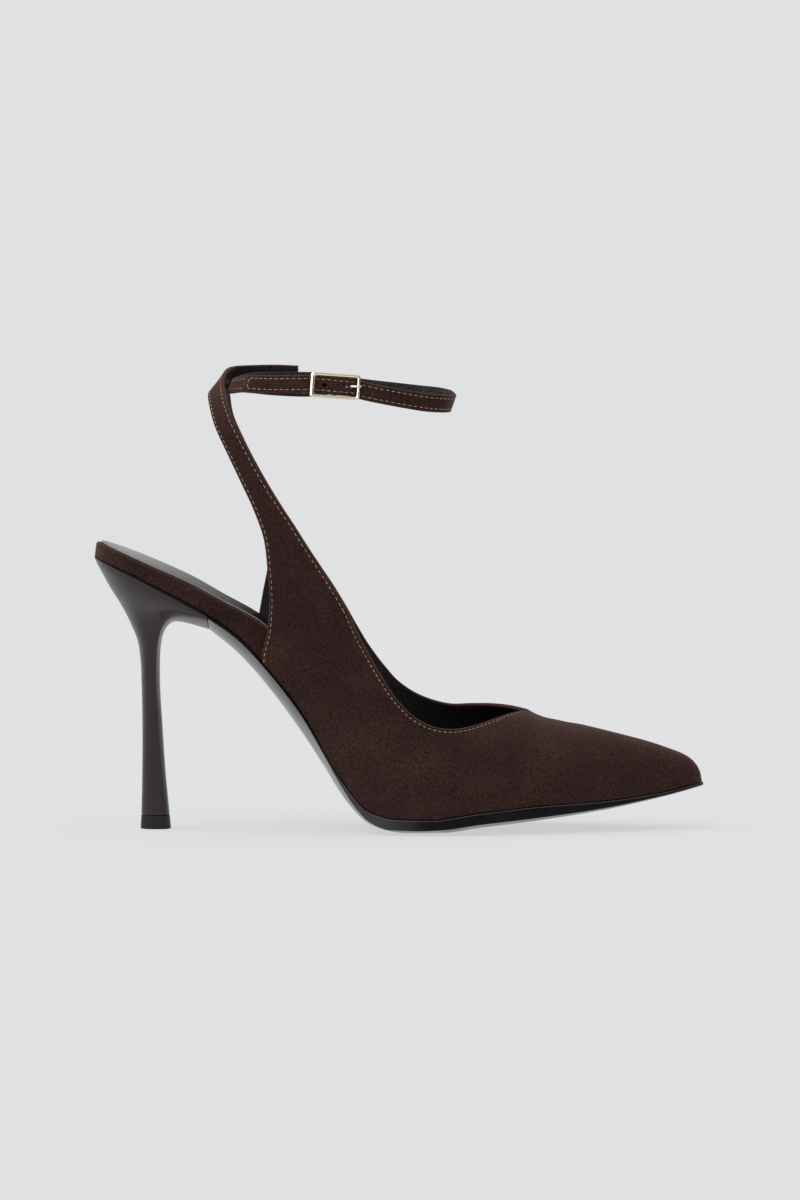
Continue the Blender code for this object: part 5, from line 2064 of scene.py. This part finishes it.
    def run(self, way: np.ndarray, place: np.ndarray, thick: float, shift: float, tilt: float) -> StrapRun:
        """Axes of the strap's section at a place, leaning in front and behind.

        Args:
            way: direction of the strap in plan.
            place: place in plan.
            thick: thickness.
            shift: height over the strap's level.
            tilt: slope of the strap.

        Returns:
            The run.
        """
        x, y = place
        flat = np.array((-way[1], way[0], 0.0)) / np.linalg.norm(way)
        upright = np.array((-tilt, 0.0, 1.0)) / math.hypot(1.0, tilt)
        front, behind = float(ease(x, *self.front_from)), float(ease(-x, *self.back_from))
        lean = math.radians(self.front_lean * front - self.back_lean * behind)
        out = math.cos(lean) * flat - math.sin(lean) * upright
        up = math.cos(lean) * upright + math.sin(lean) * flat
        return StrapRun(np.array((x, y, float(self.level(x)) + shift)), out, up, thick)

    def section(self) -> list[tuple[float, float, int, float]]:
        """Section of the strap, from its lower edge over the outside and back inside.

        Returns:
            Each point's share of half the thickness, height, slot, and wear with painted edge highlight.
        """
        half, flat = self.width / 2, self.width / 2 - self.edge_round
        rise = [s - flat for s in self.edge_steps] + [0.0] + [flat - s for s in self.edge_steps[::-1]]
        points = []
        for v in rise:
            gap = half - abs(v)
            dent = self.seam_depth * bell(gap - self.seam, self.seam_width)
            points.append((1.0 - 2.0 * dent / self.thick, v, 0, bell(gap, self.rub_and_highlight_width)))
        turns = [math.pi * k / self.edge_turns for k in range(1, self.edge_turns)]
        above, below = self.lining_from
        for t in turns:
            points.append((math.cos(t), flat + self.edge_round * math.sin(t), int(t >= above), self.rub_and_highlight))
        points += [(-1.0, v, 1, 0.0) for v in (flat, flat / 2, 0.0, -flat / 2, -flat)]
        for t in turns:
            points.append((-math.cos(t), -flat - self.edge_round * math.sin(t), int(t <= below), self.rub_and_highlight))
        return points

    def build_strap(self, suede: bpy.types.Material, lining: bpy.types.Material) -> bpy.types.Object:
        """Builds the strap with its holes.

        Args:
            suede: material of the outside.
            lining: material of the inside and of the holes.

        Returns:
            The piece.
        """
        section = self.section()
        rings = []
        for run in self.path()[0]:
            rings.append([run.at(run.thick / 2 * share, v) for share, v, _, _ in section])
        verts, faces = loft(rings)
        size = len(section)
        slots = [section[i % size][2] for i in range((len(rings) - 1) * size)]
        slots += [0] * (len(faces) - len(slots))
        wear = [point[3] for _ in rings for point in section]
        strap = mesh_object("suede_strap", verts, faces, (suede, lining), slots, wear=wear)
        tools = []
        for k in (-1, 0, 1):
            at = self.hole_at + k * self.hole_pitch
            tools.append(self.hole_tool(f"hole_{k}", at, lining, k == 0))
        tools.append(self.slot_tool(lining))
        for tool in tools:
            cut = strap.modifiers.new(tool.name, "BOOLEAN")
            cut.operation = "DIFFERENCE"
            cut.solver = "EXACT"
            cut.object = tool
        strap = baked(strap)
        for tool in tools:
            bpy.data.objects.remove(tool)
        return strap

    def axes(self) -> tuple[np.ndarray, np.ndarray, np.ndarray, np.ndarray]:
        """Place and directions of the buckle.

        Returns:
            The pin's middle, and the directions along the buckle, up and outward there.
        """
        angle = self.loop_angle(self.buckle_x)
        plan = self.loop_point(angle, 0.0)
        out2 = self.loop_point(angle, 1.0) - plan
        origin = np.array((plan[0], plan[1], float(self.level(plan[0])) + self.frame_lift))
        out = np.array((out2[0], out2[1], 0.0))
        along = np.array((-out2[1], out2[0], self.frame_slope))
        along /= np.linalg.norm(along)
        up = np.cross(out, along)
        return origin, along, up if up[2] > 0.0 else -up, out

    def in_frame(self, points: Any) -> np.ndarray:
        """Turns places on the buckle into places on the shoe.

        Args:
            points: places along the strap, up and outward from the pin.

        Returns:
            The places in the shoe's frame.
        """
        origin, along, up, out = self.axes()
        points = np.asarray(points, float)
        return origin + points[:, :1] * along + points[:, 1:2] * up + points[:, 2:3] * out

    def hole_tool(self, name: str, at: float, inside: bpy.types.Material, used: bool) -> bpy.types.Object:
        """Cutter for a punched hole in the strap's tail.

        Args:
            name: its name.
            at: place of the hole along the strap from the pin.
            inside: material of the hole's wall.
            used: whether the prong stands in it, which draws it long.

        Returns:
            The cutter.
        """
        angle = self.loop_angle(self.buckle_x + at)
        deep = self.tail_offset
        plan = self.loop_point(angle, deep)
        side = self.loop_point(angle, deep + 1.0) - plan
        along = np.array((-side[1], side[0]))
        wide, high = self.hole_drawn if used else (self.hole_radius, self.hole_radius)
        rings = []
        for out in self.hole_reach:
            ring = []
            for turn in np.linspace(0.0, 2 * math.pi, self.hole_sides, endpoint=False):
                px, py = plan + along * wide * math.cos(turn) + side * out
                middle = float(self.level(px)) + float(self.tail_shift(px))
                ring.append((px, py, middle + high * math.sin(turn)))
            rings.append(ring)
        verts, faces = loft(rings)
        tool = mesh_object(name, verts, faces, (inside,))
        tool.hide_render = True
        return tool

    def slot_tool(self, inside: bpy.types.Material) -> bpy.types.Object:
        """Cutter for the slot in the fold, where the prong turns round the pin.

        Args:
            inside: material of the slot's wall.

        Returns:
            The cutter.
        """
        half, (low, high) = self.slot_half, self.slot_z
        corners = ((-half, low), (half, low), (half, high), (-half, high))
        rings = [[(x, y, z) for y, z in corners] for x in self.slot_x]
        verts, faces = loft([self.in_frame(ring) for ring in rings])
        tool = mesh_object("fold_slot", verts, faces, (inside,))
        tool.hide_render = True
        return tool

    def seams(self) -> list[Seam]:
        """Lines of stitches along both edges of the strap and across its tail.

        Returns:
            Places and directions of each line.
        """
        runs, first = self.path()
        rise = self.width / 2 - self.seam
        start, stop = self.seam_skip
        sewn, end = runs[first + start : -stop], runs[-stop]
        lines = []
        for v in (rise, -rise):
            places = [run.at(run.thick / 2 - self.seam_sink, v) for run in sewn]
            lines.append((np.array(places), np.array([run.out for run in sewn])))
        across = [end.at(self.thick / 2 + self.end_lift, v) for v in self.end_seam]
        lines.append((np.array(across), np.array([end.out] * len(across))))
        return lines

    def corners(self, long: float, high: float, radius: float, shift: float) -> np.ndarray:
        """Outline of a rectangle with round corners, counter-clockwise.

        Args:
            long: half of its length.
            high: half of its height.
            radius: radius of its corners.
            shift: how far it is moved along.

        Returns:
            Its points.
        """
        points = []
        for sx, sy, start in ((1, 1, 0), (-1, 1, 90), (-1, -1, 180), (1, -1, 270)):
            for turn in np.radians(np.linspace(start, start + 90, self.corner_points)):
                x = sx * (long - radius) + radius * math.cos(turn) + shift
                points.append((x, sy * (high - radius) + radius * math.sin(turn)))
        return np.array(points)

    def tube(self, path: Any, radius: float, sides: int = 12) -> tuple[np.ndarray, list[tuple[int, ...]]]:
        """Round bar along a path in the buckle's own directions, rounded off at its ends.

        Args:
            path: points of its middle line.
            radius: its radius.
            sides: points round it.

        Returns:
            Vertices and faces.
        """
        path = np.asarray(path, float)
        runs = np.gradient(path, axis=0)
        rings = []
        for i, (place, run) in enumerate(zip(path, runs)):
            run = run / np.linalg.norm(run)
            first = np.array((0.0, 1.0, 0.0)) if abs(run[1]) < 0.7 else np.array((1.0, 0.0, 0.0))
            first = first - run * (first @ run)
            first /= np.linalg.norm(first)
            second = np.cross(run, first)
            turn = 2 * math.pi * (np.arange(sides) + 0.5)[:, None] / sides
            small = self.tube_end if i in (0, len(path) - 1) else 1.0
            rings.append(place + small * radius * (np.cos(turn) * first + np.sin(turn) * second))
        return loft(rings)

    def build_frame(self, gold: bpy.types.Material) -> bpy.types.Object:
        """Builds the frame: a flat rectangular ring with a broad end bar, and the pin behind it.

        Args:
            gold: its material.

        Returns:
            The piece.
        """
        long, high = self.frame_long / 2, self.frame_high / 2
        outer = self.corners(long, high, self.frame_corner, 0.0)
        shift = (self.end_bar - self.bar) / 2
        inner_long = long - (self.bar + self.end_bar) / 2
        inner = self.corners(inner_long, high - self.bar, self.opening_corner, shift)
        middle, half = (outer + inner) / 2, (outer - inner) / 2
        rings = []
        for m, h in zip(middle, half):
            ring = []
            for turn in np.linspace(0.0, 2 * math.pi, self.frame_sides, endpoint=False):
                c, s = math.cos(turn), math.sin(turn)
                flat = math.copysign(abs(c) ** self.frame_square[0], c)
                tall = math.copysign(abs(s) ** self.frame_square[1], s)
                ring.append((*(m + h * flat), self.frame_offset + self.bar / 2 * tall))
            rings.append(ring)
        rings.append(rings[0])
        verts, faces = loft(rings, capped=False)
        top = high - self.bar / 2
        post = [(0.0, top, self.frame_offset)]
        post += [(0.0, top - inward, out) for inward, out in self.post]
        post.append((0.0, self.pin_half, 0.0))
        pin_path = post + [(x, -y, z) for x, y, z in post[::-1]]
        pin_verts, pin_faces = self.tube(pin_path, self.pin_radius * self.pin_fit)
        faces += [tuple(len(verts) + i for i in face) for face in pin_faces]
        places = self.in_frame(np.concatenate((verts, pin_verts)))
        return mesh_object("gold_frame", places, faces, (gold,), sharp=50.0)

    def build_prong(self, gold: bpy.types.Material) -> bpy.types.Object:
        """Builds the prong: looped round the pin, up through the hole and down on the front bar.

        Args:
            gold: its material.

        Returns:
            The piece.
        """
        loop = self.pin_radius + self.prong_clear + self.prong_radius
        turns = np.radians(np.linspace(*self.prong_turn))
        path = [(loop * math.cos(turn), 0.0, loop * math.sin(turn)) for turn in turns]
        rest = self.frame_offset + self.bar / 2 + self.prong_radius + self.prong_rest
        path += [(along, 0.0, out) for along, out in self.prong_rise]
        path += [(along, 0.0, rest + over) for along, over in self.prong_tip]
        smooth = flow([[p] for p in path], [2] * (len(path) - 1))[:, 0, :]
        smooth[:, 1] = self.prong_slope * np.maximum(0.0, smooth[:, 0] - loop)
        verts, faces = self.tube(smooth, self.prong_radius)
        return mesh_object("gold_prong", self.in_frame(verts), faces, (gold,), sharp=60.0)


@dataclass(frozen=True)
class Studio:
    """Plain pale floor, soft light from above and the photograph's camera."""

    floor_radius: float = 1.5
    floor_sides: int = 96
    floor_colour: Colour = (0.178, 0.180, 0.184)
    floor_roughness: float = 0.8
    glow_colour: Colour = (0.99, 1.0, 1.02)
    floor_glow: float = 0.58  # light through the floor, which weakens the shadows
    backdrop: Colour = (0.745, 0.752, 0.768)
    sky_low: float = 0.11
    sky_high: float = 0.86
    sky_rise: Span = (0.05, 0.7)  # sines of the heights between which the sky brightens
    wall: float = 0.72  # light of the backdrop behind the shoe
    wall_rise: Span = (0.6, 0.97)  # parts of +Y between which it starts
    sun: float = 1.15
    sun_spread: float = 60.0  # degrees across the soft light
    sun_from: Point = (-1.05, -0.32, 1.1)
    glint_at: Point = (-0.45, -1.6, 0.3)  # panel that only the buckle reflects
    glint_to: Point = (-0.023, -0.027, 0.165)
    glint_size: float = 0.9
    glint: float = 9.5  # watts
    camera_at: Point = (0.0009, -3.5, 0.285)
    camera_to: Point = (0.0009, 0.0, 0.0847)
    frame_high: float = 0.444  # metres of the subject's plane in the picture's height
    sensor: float = 36.0

    def build(self) -> None:
        """Builds the floor, the lights and the camera."""
        self._floor()
        self._world()
        lamp = bpy.data.lights.new("soft_light", "SUN")
        lamp.energy = self.sun
        lamp.angle = math.radians(self.sun_spread)
        light = placed("soft_light", lamp)
        light.rotation_euler = Vector(self.sun_from).to_track_quat("Z", "Y").to_euler()
        self._camera()
        bpy.context.scene.view_settings.view_transform = "Standard"

    def light_metal(self, pieces: Sequence[bpy.types.Object]) -> None:
        """Sets up a panel in front that lights only some pieces.

        Args:
            pieces: the pieces.
        """
        lit = bpy.data.collections.new("metal")
        for piece in pieces:
            lit.objects.link(piece)
        lamp = bpy.data.lights.new("glint_panel", "AREA")
        lamp.size = self.glint_size
        lamp.energy = self.glint
        panel = placed("glint_panel", lamp)
        panel.location = self.glint_at
        away = Vector(self.glint_at) - Vector(self.glint_to)
        panel.rotation_euler = away.to_track_quat("Z", "Y").to_euler()
        panel.light_linking.receiver_collection = lit

    def _floor(self) -> None:
        """Lays the round floor."""
        work = bmesh.new()
        bmesh.ops.create_circle(work, cap_ends=True, segments=self.floor_sides, radius=self.floor_radius)
        mesh = bpy.data.meshes.new("floor")
        work.to_mesh(mesh)
        work.free()
        sheet = NodeSheet("floor_paper")
        sheet.fix(Base_Color=(*self.floor_colour, 1.0), Roughness=self.floor_roughness)
        sheet.fix(Specular_IOR_Level=0.0)
        sheet.fix(Emission_Color=(*self.glow_colour, 1.0), Emission_Strength=self.floor_glow)
        mesh.materials.append(sheet.material)
        placed("floor", mesh)

    def _world(self) -> None:
        """Lights the studio from above; past the floor's edge the picture shows the plain backdrop."""
        world = bpy.data.worlds.new("studio")
        world.use_nodes = True
        bpy.context.scene.world = world
        nodes, links = world.node_tree.nodes, world.node_tree.links
        heights = nodes.new("ShaderNodeSeparateXYZ")
        links.new(nodes.new("ShaderNodeTexCoord").outputs["Generated"], heights.inputs["Vector"])
        brighter = nodes.new("ShaderNodeMath")
        brighter.operation = "MAXIMUM"
        above = (*self.sky_rise, self.sky_low, self.sky_high)
        behind = (*self.wall_rise, self.sky_low, self.wall)
        for socket, axis, limits in zip(brighter.inputs, "ZY", (above, behind)):
            rise = nodes.new("ShaderNodeMapRange")
            rise.interpolation_type = "SMOOTHSTEP"
            for key, number in zip(("From Min", "From Max", "To Min", "To Max"), limits):
                rise.inputs[key].default_value = number
            links.new(heights.outputs[axis], rise.inputs["Value"])
            links.new(rise.outputs["Result"], socket)
        fill = nodes["Background"]
        fill.inputs["Color"].default_value = (1.0, 1.0, 1.0, 1.0)
        links.new(brighter.outputs["Value"], fill.inputs["Strength"])
        plain = nodes.new("ShaderNodeBackground")
        plain.inputs["Color"].default_value = (*self.backdrop, 1.0)
        rays = nodes.new("ShaderNodeLightPath")
        mix = nodes.new("ShaderNodeMixShader")
        links.new(rays.outputs["Is Camera Ray"], mix.inputs["Fac"])
        links.new(fill.outputs["Background"], mix.inputs[1])
        links.new(plain.outputs["Background"], mix.inputs[2])
        links.new(mix.outputs["Shader"], nodes["World Output"].inputs["Surface"])

    def _camera(self) -> None:
        """Sets the camera at the photograph's angle."""
        view = bpy.data.cameras.new("camera")
        camera = placed("camera", view)
        away = Vector(self.camera_to) - Vector(self.camera_at)
        camera.location = self.camera_at
        camera.rotation_euler = away.to_track_quat("-Z", "Y").to_euler()
        view.sensor_width = self.sensor
        view.lens = self.sensor * away.length / self.frame_high
        bpy.context.scene.camera = camera


def main() -> None:
    """Builds every piece round the frame."""
    logging.basicConfig(level=logging.INFO, format="%(message)s")
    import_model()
    studio = Studio()
    studio.build()
    last = Last()

    suede = Suede("suede").material()
    fold_edge = (0.014, 0.0105, 0.0095)
    lining_colour, lining_fleck = (0.0078, 0.0078, 0.0095), (0.05, 0.05, 0.054)
    lining_finish = Leather("lining_leather", lining_colour, fleck=lining_fleck, cut_edge_and_highlight=fold_edge)
    lining = lining_finish.material()
    thread = Thread("tan_thread").material()
    sewing = SewnLine()

    upper = Upper(last)
    hand_over(upper.build(suede, lining), Slot.SUEDE, "upper")
    topline, slings = upper.seams()
    short = Stitch(pitch=2.0, length=1.3)
    hand_over(sewing.sew("topline_stitches", topline, short, thread), Slot.SUEDE)
    hand_over(sewing.sew("sling_stitches", slings, Stitch(), thread), Slot.SUEDE)

    footbed = Footbed(last)
    hand_over(footbed.build_rim(Suede("rim_suede").material()), Slot.RIM, "insole")
    sock_finish = Leather("sock_leather", specular=0.0, grain_depth=0.00006, coat=(1.0, 0.08))
    sock = footbed.build_sock(sock_finish.material())
    hand_over(sock, Slot.SOCK, "sock")

    bottom = Bottom(last)
    satin = Rubber("sole_rubber", roughness=(0.22, 0.32), coat=0.3)
    ink_colour = (0.004, 0.0036, 0.0036)
    ink_finish = Rubber("edge_ink", ink_colour, roughness=(0.42, 0.52), specular=0.1, polished=0.85)
    ink = ink_finish.material()
    hand_over(bottom.build_outsole(satin.material(), ink), Slot.SOLE, "outsole")
    hand_over(bottom.build_heel(Lacquer("heel_lacquer").material(), ink), Slot.HEEL, "heel")
    matte = Rubber("top_piece_rubber", (0.005, 0.0046, 0.0046), roughness=(0.45, 0.6), specular=0.4)
    hand_over(bottom.build_top_piece(matte.material()), Slot.TOP_PIECE, "top_piece")

    strap = AnkleStrap()
    strap_suede = Suede("strap_suede").material()
    strap_finish = Leather("strap_lining", grain_scale=1500.0, fleck=(0.24, 0.24, 0.235), cut_edge_and_highlight=fold_edge)
    hand_over(strap.build_strap(strap_suede, strap_finish.material()), Slot.STRAP, "ankle_strap")
    tight = Stitch(pitch=2.2, length=1.5, seed=11)
    hand_over(sewing.sew("strap_stitches", strap.seams(), tight, thread), Slot.STRAP)
    gold = PaleGold("pale_gold").material()
    buckle, prong = strap.build_frame(gold), strap.build_prong(gold)
    hand_over(buckle, Slot.BUCKLE, "buckle_frame")
    hand_over(prong, Slot.PRONG, "buckle_prong")
    studio.light_metal((buckle, prong))


if __name__ == "__main__":
    main()
